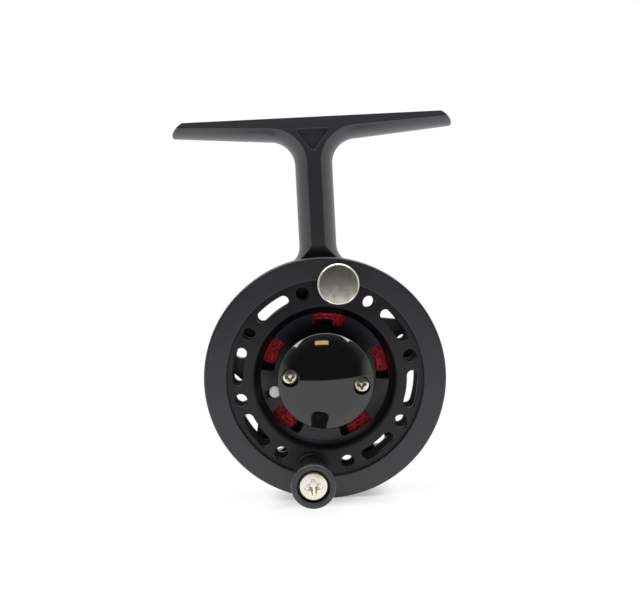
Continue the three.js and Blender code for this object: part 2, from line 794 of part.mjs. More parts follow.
function capSolid() {
  const edge = capRadius - capBevel;
  const domeRadius = (edge ** 2 + capDomeHeight ** 2) / (2 * capDomeHeight);
  const domeCentre = capFront - capDomeHeight + domeRadius;
  const rimAngle = Math.asin(edge / domeRadius);
  const dome = range(6).map((step) => {
    const turn = rimAngle * (5 - step) / 5;
    return [domeRadius * Math.sin(turn), domeCentre - domeRadius * Math.cos(turn)];
  });
  const cavity = hubSleeveRadius + seatGap;
  const sleeveRoof = frontBearingFront - seatGap * 2;
  const body = turned([
    [cavity, capBase],
    [capRadius, capBase],
    [capRadius, capFront + capBevel],
    ...dome,
    [0, capCeiling],
    [lockNutRadius + capNutSpace, capCeiling],
    [lockNutRadius + capNutSpace, sleeveRoof],
    [cavity, sleeveRoof],
  ], middleSteps);
  const seat = capScrewFront + capScrewHeadHeight + seatGap;
  const sink = rod(capScrewHeadRadius + seatGap, capScrewFront - capDomeHeight, seat, smallSteps);
  const hole = rod(capScrewShankRadius + seatGap, capScrewFront, capBase + cutOverrun, tinySteps);
  return cut(body, ...capScrewAngles.flatMap((angle) => [
    placed(sink, capScrewReach, angle),
    placed(hole, capScrewReach, angle),
  ]));
}

function capScrewSolid() {
  const back = backFlangeFront - seatGap - capScrewShort;
  return panScrew(capScrewHeadRadius, capScrewHeadHeight, capScrewShankRadius, capScrewFront, back);
}

// Ball bearing: pitch circle and the grooves that the balls run in
const ballRadius = raceSpacing / 2 + ballBite;
const pitchRadius = (innerRaceOuter + outerRaceInner) / 2;
const grooveRadius = ballRadius + ballGap;

function grooved(wallRadius, awayFromBalls, front) {
  const centre = front + bearingWidth / 2;
  const offset = Math.abs(wallRadius - pitchRadius);
  const spread = Math.acos(offset / grooveRadius);
  return range(4).map((step) => {
    const turn = -spread + 2 * spread * step / 3;
    return [pitchRadius + awayFromBalls * grooveRadius * Math.cos(turn), centre + grooveRadius * Math.sin(turn)];
  });
}

function innerRace(front) {
  return turned([
    [boreRadius, front],
    [innerRaceOuter, front],
    ...grooved(innerRaceOuter, -1, front),
    [innerRaceOuter, front + bearingWidth],
    [boreRadius, front + bearingWidth],
  ], raceSteps);
}

function outerRace(front) {
  return turned([
    [bearingRadius, front],
    [outerRaceInner, front],
    ...grooved(outerRaceInner, 1, front),
    [outerRaceInner, front + bearingWidth],
    [bearingRadius, front + bearingWidth],
  ], raceSteps);
}

// Balls held together by the ring of their cage
function ballCage(front) {
  const centre = front + bearingWidth / 2;
  const ball = solidOf(new THREE.SphereGeometry(ballRadius, 7, 4)).translate([0, centre, 0]);
  const balls = range(ballCount).map((index) => placed(ball, pitchRadius, index * 360 / ballCount));
  const ring = tube(
    pitchRadius - cageThickness / 2,
    pitchRadius + cageThickness / 2,
    centre - cageWidth / 2,
    centre + cageWidth / 2,
    raceSteps,
  );
  return joined(ring, ...balls);
}

function spindleSolid() {
  return turned([
    [0, spindleFront],
    [threadRadius, spindleFront],
    [threadRadius, frontBearingFront],
    [spindleRadius, frontBearingFront],
    [spindleRadius, shoulderFront],
    [shoulderRadius, shoulderFront],
    [shoulderRadius, shoulderBack],
    [spindleRadius, shoulderBack],
    [spindleRadius, rearHubBack],
    [threadRadius, rearHubBack],
    [threadRadius, spindleRear],
    [0, spindleRear],
  ], smallSteps);
}

function nut(radius, front, back, bore) {
  return cut(hexagon(radius, front, back), rod(bore, front - cutOverrun, back + cutOverrun, smallSteps));
}

// Click gear with a gap between teeth straight up, under the plunger
function clickGearSolid() {
  const root = clickTipRadius - clickToothHeight;
  const pitch = 360 / clickTeeth;
  const half = clickToothTipShare / 2;
  const outline = range(clickTeeth).flatMap((tooth) => {
    const gap = 90 + tooth * pitch;
    return [
      around(root, gap),
      around(clickTipRadius, gap + pitch * (0.5 - half)),
      around(clickTipRadius, gap + pitch * (0.5 + half)),
    ];
  });
  return cut(
    slabOf(outline, gearFront, gearBack),
    rod(hubSleeveRadius + fitGap, gearFront - cutOverrun, gearBack + cutOverrun, middleSteps),
  );
}

// Turned solid that stands along Z on the plunger's line, from [radius, height] points
function upright(profile, steps) {
  return turned(profile, steps).rotate([90, 0, 0]).translate([0, plungerDepth, 0]);
}

function plungerSolid() {
  return upright([
    [0, plungerTip],
    [plungerRadius, plungerTip + plungerRadius],
    [plungerRadius, plungerTop],
    [0, plungerTop],
  ], tinySteps);
}

function clickBlockSolid() {
  const half = clickBlockWidth / 2;
  const body = slabOf(
    [[-half, blockBottom], [half, blockBottom], [half, blockTop], [-half, blockTop]],
    gearFront,
    blockBack,
  );
  const channel = upright([
    [0, blockBottom - cutOverrun],
    [plungerRadius + fitGap, blockBottom - cutOverrun],
    [plungerRadius + fitGap, springTop + fitGap],
    [0, springTop + fitGap],
  ], smallSteps);
  const seat = gearFront + clickScrewHeadHeight + seatGap * 2;
  const sink = rod(clickScrewHeadRadius + fitGap, gearFront - cutOverrun, seat, smallSteps);
  const hole = rod(clickScrewShank + fitGap, gearFront, blockBack + cutOverrun, tinySteps);
  const screwCuts = [-1, 1].map((side) => joined(sink, hole).translate([side * clickScrewReach, 0, clickScrewHeight]));
  return cut(body, channel, ...screwCuts);
}

function clickScrewSolid() {
  const front = gearFront + seatGap;
  return panScrew(clickScrewHeadRadius, clickScrewHeadHeight, clickScrewShank, front, recessFloor + clickScrewBite);
}

function springPath() {
  const coilSteps = 8;
  const coil = plungerRadius - springWire / 2;
  const height = springTop - springBottom - springWire;
  return range(springTurns * coilSteps + 1).map((step) => {
    const [x, y] = around(coil, step * 360 / coilSteps);
    const rise = springBottom + springWire / 2 + height * step / (springTurns * coilSteps);
    return new THREE.Vector3(x, plungerDepth + y, rise);
  });
}

// Pressure plate behind the felt, with the pins that reach back through the hub to the drag knob
function pressurePlateSolid() {
  const plate = tube(shoulderRadius + seatGap * 2, dragRingRadius, pressFront, pressBack, middleSteps);
  const pin = rod(dragPinRadius, pressFront + fitGap, knobFaceFront - seatGap, tinySteps);
  return joined(plate, ...range(dragPinCount).map((index) => placed(pin, dragPinReach, 90 + index * 360 / dragPinCount)));
}

function dragKnobSolid() {
  const back = knobFaceFront + dragKnobHeight;
  const body = turned([
    [0, knobFaceFront],
    [dragKnobRadius - dragKnobChamfer, knobFaceFront],
    [dragKnobRadius, knobFaceFront + dragKnobChamfer],
    [dragKnobRadius, back - dragKnobChamfer],
    [dragKnobRadius - dragKnobChamfer, back],
    [0, back],
  ], fineSteps);
  const groove = rod(dragKnobRibDepth, knobFaceFront - cutOverrun, back + cutOverrun, tinySteps);
  const grooves = range(dragKnobRibs).map((rib) => placed(groove, dragKnobRadius, rib * 360 / dragKnobRibs));
  return cut(
    body,
    rod(nutRoomRadius, knobFaceFront - cutOverrun, back - dragKnobWall, smallSteps),
    rod(threadRadius + fitGap, knobFaceFront, back + cutOverrun, smallSteps),
    ...grooves,
  );
}

function linePinSolid() {
  const seat = floorDepth(linePinReach + linePinRadius) - seatGap;
  return turned([
    [0, seat - linePinRise],
    [linePinRadius - linePinRise / 2, seat - linePinRise],
    [linePinRadius, seat - linePinRise / 2],
    [linePinRadius, seat],
    [linePinShank, seat],
    [linePinShank, floorBack],
    [0, floorBack],
  ], smallSteps);
}

// Counterweight opposite the handle, and the pieces of the handle itself, each about its own axis
const studNutFront = annulusBack + seatGap;
const studNutBack = studNutFront + postNutHeight;
const knobBack = -knobBaseGap;
const knobFront = knobBack - knobLength;
const knobSeat = knobFront + knobRecessDepth;

function counterweightSolid() {
  const back = -seatGap;
  const front = back - weightThickness;
  return turned([
    [0, front],
    [weightRadius - weightBevel, front],
    [weightRadius, front + weightBevel],
    [weightRadius, back],
    [weightStudRadius, back],
    [weightStudRadius, studNutBack + studEndRise],
    [0, studNutBack + studEndRise],
  ], middleSteps);
}

function knobSleeve() {
  return tube(knobSleeveRadius - knobSleeveWall, knobSleeveRadius, knobSeat, -seatGap, smallSteps);
}

function handleKnobSolid() {
  const bore = knobSleeveRadius + fitGap;
  const swell = knobFrontRadius - knobWaistRadius;
  const grip = knobWaistShares.map((share, i) => {
    const flare = share < knobWaistShares[1] ? knobBaseRadius - knobWaistRadius : swell;
    return [knobWaistRadius + flare * knobSwellShares[i], knobBack - knobLength * share];
  });
  return turned([
    [bore, knobBack],
    [knobBaseRadius, knobBack],
    ...grip,
    [knobFrontRadius, knobFront + knobChamfer * 2],
    [knobFrontRadius, knobFront + knobChamfer],
    [knobFrontRadius - knobChamfer, knobFront],
    [knobRecessRadius, knobFront],
    [knobRecessRadius, knobSeat],
    [bore, knobSeat],
  ], middleSteps);
}

function knobScrewSolid() {
  const back = knobSeat - seatGap;
  return panScrew(
    knobScrewHeadRadius,
    knobScrewHeadHeight,
    knobScrewRadius,
    back - knobScrewHeadHeight,
    studNutBack + studEndRise,
  );
}

// Finishes
const finishes = {
  blackAnodised: { color: 0x2e2e31, roughness: 0.42, metalness: 0.6 },
  glossBlack: { color: 0x0b0b0d, roughness: 0.08, metalness: 0.3 },
  blackKnob: { color: 0x1b1b1d, roughness: 0.35, metalness: 0.1 },
  steel: { color: 0xc9c7c2, roughness: 0.22, metalness: 1 },
  brightWeight: { color: 0xb7b3a6, roughness: 0.25, metalness: 1 },
  brass: { color: 0xb08d4a, roughness: 0.35, metalness: 1 },
  redLine: { color: 0xb3143c, roughness: 0.7, metalness: 0 },
  felt: { color: 0x6b675e, roughness: 0.95, metalness: 0 },
};

function piece(name, solid, finish) {
  const mesh = new THREE.Mesh(geometryOf(solid), new THREE.MeshStandardMaterial(finishes[finish]));
  mesh.name = name;
  return mesh;
}

function group(...members) {
  const holder = new THREE.Group();
  holder.add(...members);
  return holder;
}

// Group moved to a radius and an angle about the spool axis
function groupAt(radius, degrees, ...members) {
  const holder = group(...members);
  const [x, z] = around(radius, degrees);
  holder.position.set(x, 0, z);
  return holder;
}

function bearing(name, front) {
  return group(
    piece(`${name}_outer_race`, outerRace(front), 'steel'),
    piece(`${name}_inner_race`, innerRace(front), 'steel'),
    piece(`${name}_balls`, ballCage(front), 'steel'),
  );
}

function clickMechanism() {
  const left = piece('click_screw_left', clickScrewSolid(), 'steel');
  const right = piece('click_screw_right', clickScrewSolid(), 'steel');
  left.position.set(-clickScrewReach, 0, clickScrewHeight);
  right.position.set(clickScrewReach, 0, clickScrewHeight);
  const spring = wireSolid(springPath(), springWire, 5, new THREE.Vector3(0, 0, 1));
  return group(
    piece('click_block', clickBlockSolid(), 'brass'),
    piece('click_plunger', plungerSolid(), 'steel'),
    piece('click_spring', spring, 'steel'),
    left,
    right,
  );
}

const lineRoute = linePath();
console.log(`Least gap of the wound line to itself: ${leastGap(lineRoute, lineThickness, loopSteps / 2).toFixed(3)} mm`);

const spoolAssembly = group(
  piece('spool_front_flange', frontFlangeSolid(), 'blackAnodised'),
  piece('spool_hub', hubSolid(), 'blackAnodised'),
  piece('spool_back_flange', backFlangeSolid(), 'blackAnodised'),
  piece('line_core', lineCore(), 'redLine'),
  piece('line_winding', windingSolid(lineRoute), 'redLine'),
  piece('hub_cap', capSolid(), 'glossBlack'),
  piece('click_gear', clickGearSolid(), 'brass'),
  groupAt(capScrewReach, capScrewAngles[0], piece('cap_screw_right', capScrewSolid(), 'steel')),
  groupAt(capScrewReach, capScrewAngles[1], piece('cap_screw_left', capScrewSolid(), 'steel')),
  groupAt(linePinReach, linePinAngle, piece('line_pin', linePinSolid(), 'steel')),
  groupAt(
    handleReach,
    postAngles[0],
    piece('handle_sleeve', knobSleeve(), 'steel'),
    piece('handle_knob', handleKnobSolid(), 'blackKnob'),
    piece('handle_screw', knobScrewSolid(), 'steel'),
    piece('handle_nut', nut(postNutRadius, studNutFront, studNutBack, knobScrewRadius + fitGap), 'steel'),
  ),
  groupAt(
    handleReach,
    postAngles[1],
    piece('counterweight', counterweightSolid(), 'brightWeight'),
    piece('counterweight_nut', nut(postNutRadius, studNutFront, studNutBack, weightStudRadius + fitGap), 'steel'),
  ),
);

const spindleAssembly = group(
  piece('spindle', spindleSolid(), 'steel'),
  bearing('front_bearing', frontBearingFront),
  bearing('rear_bearing', rearBearingFront),
  piece(
    'bearing_spacer',
    tube(boreRadius, innerRaceOuter - fitGap, frontBearingBack + seatGap, rearBearingFront - seatGap, smallSteps),
    'steel',
  ),
  piece('spindle_lock_nut', nut(lockNutRadius, lockNutFront, lockNutBack, threadRadius + fitGap), 'steel'),
  piece(
    'spindle_washer',
    tube(threadRadius + fitGap, rearNutRadius, rearWasherFront, rearWasherBack, smallSteps),
    'steel',
  ),
  piece('spindle_nut', nut(rearNutRadius, rearNutFront, rearNutBack, threadRadius + fitGap), 'steel'),
);

const dragAssembly = group(
  piece('drag_felt', tube(feltInnerRadius, dragRingRadius, feltFront, feltBack, middleSteps), 'felt'),
  piece('drag_pressure_plate', pressurePlateSolid(), 'steel'),
  piece('drag_knob', dragKnobSolid(), 'blackAnodised'),
);

const reel = group(
  piece('frame', frameSolid(), 'blackAnodised'),
  spoolAssembly,
  spindleAssembly,
  clickMechanism(),
  dragAssembly,
);
reel.position.set(0, -(footSetback + footWidth / 2), -axisDrop);

export default group(reel);
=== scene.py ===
"""Dresses a single-action fly reel: black anodised frame and spool, glossy hub cap, bright screws, red line.

Depths are measured back from the spool ring's front face, and places from the spool's axis, as the front is seen.
"""

import math
import random

import bmesh
import bpy
from bpy.props import FloatProperty, FloatVectorProperty, IntProperty, PointerProperty
from mathutils import Matrix, Vector


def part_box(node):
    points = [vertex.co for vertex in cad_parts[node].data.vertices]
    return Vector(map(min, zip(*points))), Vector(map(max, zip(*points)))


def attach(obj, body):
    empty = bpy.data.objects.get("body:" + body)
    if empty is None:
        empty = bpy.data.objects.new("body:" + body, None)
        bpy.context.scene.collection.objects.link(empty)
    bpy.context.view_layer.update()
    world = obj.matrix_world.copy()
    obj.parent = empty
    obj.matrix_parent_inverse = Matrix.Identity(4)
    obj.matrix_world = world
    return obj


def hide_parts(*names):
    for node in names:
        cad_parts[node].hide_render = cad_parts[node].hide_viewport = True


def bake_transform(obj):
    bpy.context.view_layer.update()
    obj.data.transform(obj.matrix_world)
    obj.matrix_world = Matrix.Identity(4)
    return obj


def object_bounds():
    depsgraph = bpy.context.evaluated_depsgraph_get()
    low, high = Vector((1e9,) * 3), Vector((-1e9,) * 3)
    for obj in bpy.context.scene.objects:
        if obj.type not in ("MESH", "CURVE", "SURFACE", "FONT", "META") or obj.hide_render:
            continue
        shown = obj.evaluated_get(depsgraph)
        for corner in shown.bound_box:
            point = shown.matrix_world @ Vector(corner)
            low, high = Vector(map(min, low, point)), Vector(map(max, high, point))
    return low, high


bl_info = {
    "name": "Fly Reel Dressing",
    "version": (1, 0, 0),
    "blender": (4, 5, 0),
    "location": "3D View > Sidebar > Fly Reel",
    "description": "Builds the visible pieces, finishes and studio of a small fly reel",
    "category": "Object",
}

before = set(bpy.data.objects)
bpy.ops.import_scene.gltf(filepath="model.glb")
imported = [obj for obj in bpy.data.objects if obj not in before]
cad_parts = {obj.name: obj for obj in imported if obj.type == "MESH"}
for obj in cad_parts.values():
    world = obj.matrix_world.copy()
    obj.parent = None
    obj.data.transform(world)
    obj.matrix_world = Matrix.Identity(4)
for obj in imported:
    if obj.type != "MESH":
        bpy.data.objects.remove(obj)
cad_box = [list(corner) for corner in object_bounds()]

MM = 0.001
FLANGE_LOW, FLANGE_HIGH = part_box("spool_front_flange")
AXIS_X = (FLANGE_LOW.x + FLANGE_HIGH.x) / 2
AXIS_Z = (FLANGE_LOW.z + FLANGE_HIGH.z) / 2
RING_FRONT = FLANGE_LOW.y
RING_RADIUS = (FLANGE_HIGH.x - FLANGE_LOW.x) / 2
FRAME_LOW, FRAME_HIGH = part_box("frame")
FOOT_TOP = FRAME_HIGH.z - AXIS_Z
FOOT_LENGTH = FRAME_HIGH.x - FRAME_LOW.x
SIDES = 224  # round a large turned piece
HOLE_SIDES = 48
HUB_BORE = 6.5 * MM
HUB_STEP = 3.2 * MM  # the rear hub stands out by this behind the star plate
RECESS_TURN = 1.5708  # degrees between the screws' crosses and the upright
CAMERA_PLACE, CAMERA_TARGET = (-4.72 * MM, -250.0 * MM, 33.0 * MM), (-0.363 * MM, 0.0, 18.73 * MM)
CAMERA_TILT = math.radians(2.949)

# Places of the repeated features, in degrees from +X towards +Z
ROUND_HOLES = [angle - 3 for angle in (15, 60, 105, 150, 195, 240, 285, 330)]
SLOTS = [angle - 3 for angle in (37.5, 127.5, 172.5, 217.5, 307.5, 352.5)]
PORTS = [11 + port * 72 for port in range(5)]
LINE_HOLLOWS = [  # middle, half angle, inner and outer radius in millimetres
    (-3.5, 7.5, 12.5, 16.6), (83.0, 16.0, 12.3, 14.1), (71.5, 7.0, 12.3, 16.6), (169.0, 8.0, 12.5, 16.6),
    (241.0, 8.0, 12.5, 16.6), (285.5, 7.5, 12.5, 16.6),
]
ARMS = [90 + arm * 72 for arm in range(5)]
CAP_SCREWS = ("cap_screw_right", "cap_screw_left")
HANDLE_ANGLE = 259.4


def depths(node):
    """Front and back depth of a CAD node."""
    low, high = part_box(node)
    return low.y - RING_FRONT, high.y - RING_FRONT


def across(node):
    """Diameter of a round CAD node that lies along the spool's axis."""
    low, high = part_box(node)
    return max(high.x - low.x, high.z - low.z)


def middle(node):
    """A CAD node's place across the spool's axis."""
    low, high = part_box(node)
    return (low.x + high.x) / 2 - AXIS_X, (low.z + high.z) / 2 - AXIS_Z


class SpoolSizes(bpy.types.PropertyGroup):
    """Sizes of the spool and what is fixed to it."""

    ring_radius: FloatProperty(
        name="Ring Radius", description="Outer radius of the palming ring", default=RING_RADIUS, unit="LENGTH")
    ring_band: FloatProperty(
        name="Ring Band", description="Width of the palming ring's face", default=5.6 * MM, unit="LENGTH")
    ring_edge: FloatProperty(
        name="Ring Edge", description="Rounding of the ring's outer edge", default=0.7 * MM, unit="LENGTH")
    ring_thickness: FloatProperty(
        name="Ring Thickness", description="Thickness of the palming ring", default=2.5 * MM, unit="LENGTH")
    recess: FloatProperty(
        name="Recess", description="Depth of the holed band below the ring", default=1.0 * MM, unit="LENGTH")
    bowl_radius: FloatProperty(
        name="Bowl Radius", description="Radius of the bowl's lip", default=17.3 * MM, unit="LENGTH")
    bowl_depth: FloatProperty(
        name="Bowl Depth", description="Depth of the bowl's floor beside the cap", default=5.3 * MM, unit="LENGTH")
    bowl_rise: FloatProperty(
        name="Bowl Rise", description="How much the floor rises towards its wall", default=0.8 * MM, unit="LENGTH")
    wall: FloatProperty(
        name="Bowl Wall", description="Thickness of the bowl", default=1.2 * MM, unit="LENGTH")
    hole_reach: FloatProperty(
        name="Hole Circle", description="Radius of the circle of holes", default=21.67 * MM, unit="LENGTH")
    hole_radius: FloatProperty(
        name="Hole Radius", description="Radius of the round holes", default=1.6 * MM, unit="LENGTH")
    slot_half_width: FloatProperty(
        name="Slot Half Width", description="Half the width of the curved slots", default=1.35 * MM, unit="LENGTH")
    slot_half_angle: FloatProperty(
        name="Slot Half Angle", description="Half the angle between a slot's end centres",
        default=math.radians(8.9), subtype="ANGLE")
    port_inner: FloatProperty(
        name="Port Inner Radius", description="Radius of the ports' inner sides", default=12.9 * MM, unit="LENGTH")
    port_length: FloatProperty(
        name="Port Length", description="Radial length of the ports", default=3.1 * MM, unit="LENGTH")
    port_half_angle: FloatProperty(
        name="Port Half Angle", description="Half the angle that a port covers",
        default=math.radians(16.5), subtype="ANGLE")
    rim: FloatProperty(
        name="Hole Rim", description="Rounding of the holes' rims", default=0.22 * MM, unit="LENGTH")
    cap_dome: FloatProperty(
        name="Cap Dome", description="Height of the hub cap's dome", default=3.6 * MM, unit="LENGTH")
    cap_edge: FloatProperty(
        name="Cap Edge", description="Rounding between the cap's side and dome", default=0.5 * MM, unit="LENGTH")
    post_reach: FloatProperty(
        name="Post Reach", description="Distance of handle and counterweight from the axis", default=23.5 * MM,
        unit="LENGTH")
    weight_bevel: FloatProperty(
        name="Weight Bevel", description="Bevel round the counterweight's face", default=0.34 * MM, unit="LENGTH")


class FrameSizes(bpy.types.PropertyGroup):
    """Sizes of the frame casting behind the spool and of its foot."""

    ring_width: FloatProperty(
        name="Rear Ring Width", description="Width of the ring round the star plate", default=3.8 * MM, unit="LENGTH")
    plate_thickness: FloatProperty(
        name="Plate Thickness", description="Thickness of the star plate", default=3.3 * MM, unit="LENGTH")
    hub_radius: FloatProperty(
        name="Rear Hub Radius", description="Outer radius of the rear hub", default=15.4 * MM, unit="LENGTH")
    arm_end: FloatProperty(
        name="Arm End", description="Half the width of an arm at the ring", default=4.58 * MM, unit="LENGTH")
    arm_hole: FloatProperty(
        name="Arm Hole", description="Radius of the hole in each arm", default=2.0 * MM, unit="LENGTH")
    edge: FloatProperty(
        name="Edge", description="Rounding of the casting's outer edges", default=0.5 * MM, unit="LENGTH")
    foot_length: FloatProperty(
        name="Foot Length", description="Length of the foot", default=FOOT_LENGTH, unit="LENGTH")
    foot_setback: FloatProperty(
        name="Foot Setback", description="Depth of the foot's front face", default=2.5 * MM, unit="LENGTH")
    stem_width: FloatProperty(
        name="Stem Width", description="Width of the stem", default=9.4 * MM, unit="LENGTH")
    tip_bevel: FloatProperty(
        name="Tip Bevel", description="Length of the slope at each end of the foot", default=3.0 * MM, unit="LENGTH")
    flank_inset: FloatProperty(
        name="Flank Inset", description="How far the flanks draw in towards the front", default=3.0 * MM,
        unit="LENGTH")
    pocket_width: FloatProperty(
        name="Pocket Width", description="Width of the three-cornered pocket", default=8.6 * MM, unit="LENGTH")


class LineSizes(bpy.types.PropertyGroup):
    """Sizes of the wound line."""

    thickness: FloatProperty(
        name="Line Thickness", description="Diameter of the line", default=0.86 * MM, unit="LENGTH")
    pitch: FloatProperty(
        name="Line Pitch", description="Step between neighbouring turns", default=0.84 * MM, unit="LENGTH")
    waver: FloatProperty(
        name="Waver", description="How far hand-wound turns wander", default=0.16 * MM, unit="LENGTH")
    bulge: FloatProperty(
        name="Bulge", description="How far the turns swell into the lower left port", default=0.9 * MM,
        unit="LENGTH")
    hollow: FloatProperty(
        name="Hollow", description="How far the turns sink behind the ports' lower ends", default=1.1 * MM,
        unit="LENGTH")
    strands: IntProperty(name="Strands", description="Braid strands round the line", default=3)


class HandleSizes(bpy.types.PropertyGroup):
    """Sizes of the handle knob."""

    waist_radius: FloatProperty(
        name="Waist Radius", description="Radius of the knob's waist", default=3.6 * MM, unit="LENGTH")
    base_radius: FloatProperty(
        name="Base Radius", description="Radius of the knob's back end", default=4.0 * MM, unit="LENGTH")
    recess_radius: FloatProperty(
        name="Recess Radius", description="Radius of the recess round the screw", default=3.9 * MM, unit="LENGTH")
    recess_depth: FloatProperty(
        name="Recess Depth", description="Depth of the recess round the screw", default=2.3 * MM, unit="LENGTH")


class FinishColours(bpy.types.PropertyGroup):
    """Colours of the finishes, before light."""

    frame_black: FloatVectorProperty(
        name="Frame", description="Anodised black of the frame", default=(0.0150, 0.0148, 0.0192), size=3,
        min=0, max=1, subtype="COLOR")
    ring_black: FloatVectorProperty(
        name="Ring", description="Anodised black of the palming ring", default=(0.0150, 0.0146, 0.0215), size=3,
        min=0, max=1, subtype="COLOR")
    cap_black: FloatVectorProperty(
        name="Cap", description="Polished black of the hub cap", default=(0.0035, 0.0035, 0.004), size=3,
        min=0, max=1, subtype="COLOR")
    knob_black: FloatVectorProperty(
        name="Knob", description="Black of the handle knob", default=(0.042, 0.042, 0.047), size=3,
        min=0, max=1, subtype="COLOR")
    bright: FloatVectorProperty(
        name="Bright Metal", description="Plated screws and pin", default=(0.80, 0.78, 0.73), size=3,
        min=0, max=1, subtype="COLOR")
    weight: FloatVectorProperty(
        name="Counterweight", description="Turned metal of the counterweight", default=(0.80, 0.77, 0.71), size=3,
        min=0, max=1, subtype="COLOR")
    steel: FloatVectorProperty(
        name="Steel", description="Ground steel of spindle, nuts and bearings", default=(0.56, 0.56, 0.56), size=3,
        min=0, max=1, subtype="COLOR")
    brass: FloatVectorProperty(
        name="Brass", description="Machined brass of the click", default=(0.62, 0.44, 0.19), size=3,
        min=0, max=1, subtype="COLOR")
    felt: FloatVectorProperty(
        name="Felt", description="Pressed felt of the drag", default=(0.23, 0.21, 0.18), size=3,
        min=0, max=1, subtype="COLOR")
    line_red: FloatVectorProperty(
        name="Line", description="Red of the wound line", default=(0.56, 0.012, 0.045), size=3,
        min=0, max=1, subtype="COLOR")


class StudioSizes(bpy.types.PropertyGroup):
    """White sheet, lamps and camera."""

    sheet_front: FloatProperty(
        name="Sheet Front", description="How far the white sheet reaches towards the viewer", default=0.62,
        unit="LENGTH")
    lens: FloatProperty(name="Lens", description="Focal length of the camera in millimetres", default=57.3)
    overhead: FloatProperty(
        name="Overhead Power", description="Power of the soft lamp above", default=6.0, unit="POWER")
    front: FloatProperty(
        name="Front Power", description="Power of each soft lamp high in front", default=2.6, unit="POWER")
    warm: FloatProperty(
        name="Warm Lamp Power", description="Power of the small warm lamp", default=0.28, unit="POWER")


def sizes(group):
    """The settings group of that name on the current scene."""
    return getattr(bpy.context.scene, "fly_reel_" + group)


# Shapes

def spot(x, depth, z):
    return Vector((AXIS_X + x, RING_FRONT + depth, AXIS_Z + z))


def around(radius, degrees):
    return radius * math.cos(math.radians(degrees)), radius * math.sin(math.radians(degrees))


def made(name, points, faces):
    """New object from points and faces, merged, with its faces turned outwards."""
    mesh = bpy.data.meshes.new(name)
    mesh.from_pydata([tuple(point) for point in points], [], faces)
    shape = bmesh.new()
    shape.from_mesh(mesh)
    bmesh.ops.remove_doubles(shape, verts=shape.verts, dist=1e-7)
    bmesh.ops.recalc_face_normals(shape, faces=shape.faces)
    shape.to_mesh(mesh)
    shape.free()
    piece = bpy.data.objects.new(name, mesh)
    bpy.context.scene.collection.objects.link(piece)
    return piece


def rounded(corners, steps=5):
    """Closed outline through (x, y, rounding) corners, with each corner drawn round."""
    path = []
    for index, (x, y, rounding) in enumerate(corners):
        here = Vector((x, y))
        before = Vector(corners[index - 1][:2]) - here
        after = Vector(corners[(index + 1) % len(corners)][:2]) - here
        if rounding <= 0:
            path.append((x, y))
            continue
        reach = min(rounding / math.tan(before.angle(after) / 2), before.length * 0.48, after.length * 0.48)
        start, end = here + before.normalized() * reach, here + after.normalized() * reach
        for step in range(steps + 1):
            share = step / steps
            point = start * (1 - share) ** 2 + here * 2 * share * (1 - share) + end * share ** 2
            path.append((point.x, point.y))
    return path


def turned(name, profile, centre=(0.0, 0.0), sides=SIDES):
    """Solid turned about an axis through the centre, from a closed outline of (radius, depth)."""
    points, rings = [], []
    for radius, depth in profile:
        if radius < 1e-7:
            rings.append([len(points)] * sides)
            points.append(spot(centre[0], depth, centre[1]))
        else:
            rings.append(list(range(len(points), len(points) + sides)))
            for side in range(sides):
                x, z = around(radius, side * 360 / sides)
                points.append(spot(centre[0] + x, depth, centre[1] + z))
    faces = []
    for ring, after in zip(rings, rings[1:] + rings[:1]):
        for side in range(sides):
            turn = (side + 1) % sides
            face = list(dict.fromkeys([ring[side], ring[turn], after[turn], after[side]]))
            if len(face) > 2:
                faces.append(face)
    return made(name, points, faces)


def lofted(name, layers):
    """Solid through outlines of (x, z) points, each with a depth or a rule for the depth at a point."""
    points = []
    for outline, depth in layers:
        for x, z in outline:
            points.append(spot(x, depth(x, z) if callable(depth) else depth, z))
    count = len(layers[0][0])
    faces = [list(range(count)), list(range(len(points) - count, len(points)))]
    for layer in range(len(layers) - 1):
        for index in range(count):
            turn = (index + 1) % count
            low, high = layer * count, (layer + 1) * count
            faces.append([low + index, low + turn, high + turn, high + index])
    return made(name, points, faces)


def grown(outline, offset):
    """Outline moved outwards by an offset, along the normals at its points."""
    area = sum(x * after[1] - after[0] * z for (x, z), after in zip(outline, outline[1:] + outline[:1]))
    side = 1 if area > 0 else -1
    moved = []
    for index, (x, z) in enumerate(outline):
        before, after = outline[index - 1], outline[(index + 1) % len(outline)]
        along = Vector((after[0] - before[0], after[1] - before[1])).normalized()
        moved.append((x + side * along.y * offset, z - side * along.x * offset))
    return moved


def through(name, outline, front, back, rim):
    """Cutter for a hole of that outline from a front to a back surface, which rounds both of its rims."""
    def below(surface, distance):
        if callable(surface):
            return lambda x, z: surface(x, z) + distance
        return surface + distance

    flare = [(1 - math.sin(math.radians(22.5 * step)), 1 - math.cos(math.radians(22.5 * step))) for step in range(5)]
    layers = [(grown(outline, rim), below(front, -4 * rim))]
    layers += [(grown(outline, rim * out), below(front, rim * down)) for out, down in flare]
    layers += [(grown(outline, rim * out), below(back, -rim * down)) for out, down in reversed(flare)]
    layers += [(grown(outline, rim), below(back, 4 * rim))]
    return lofted(name, layers)


def tube(name, points, radius, upright, sides=12):
    """Solid along a path, with a rule for the radius at a step and an angle round the path."""
    corners = []
    for index, point in enumerate(points):
        ahead, behind = points[min(index + 1, len(points) - 1)], points[max(index - 1, 0)]
        along = (ahead - behind).normalized()
        first = (upright - along * along.dot(upright)).normalized()
        second = along.cross(first)
        for side in range(sides):
            turn = 2 * math.pi * side / sides
            corners.append(point + (first * math.cos(turn) + second * math.sin(turn)) * radius(index, turn))
    faces = [list(range(sides)), list(range(len(corners) - sides, len(corners)))]
    for index in range(len(points) - 1):
        for side in range(sides):
            here, turn = index * sides + side, index * sides + (side + 1) % sides
            faces.append([here, turn, turn + sides, here + sides])
    return made(name, corners, faces)


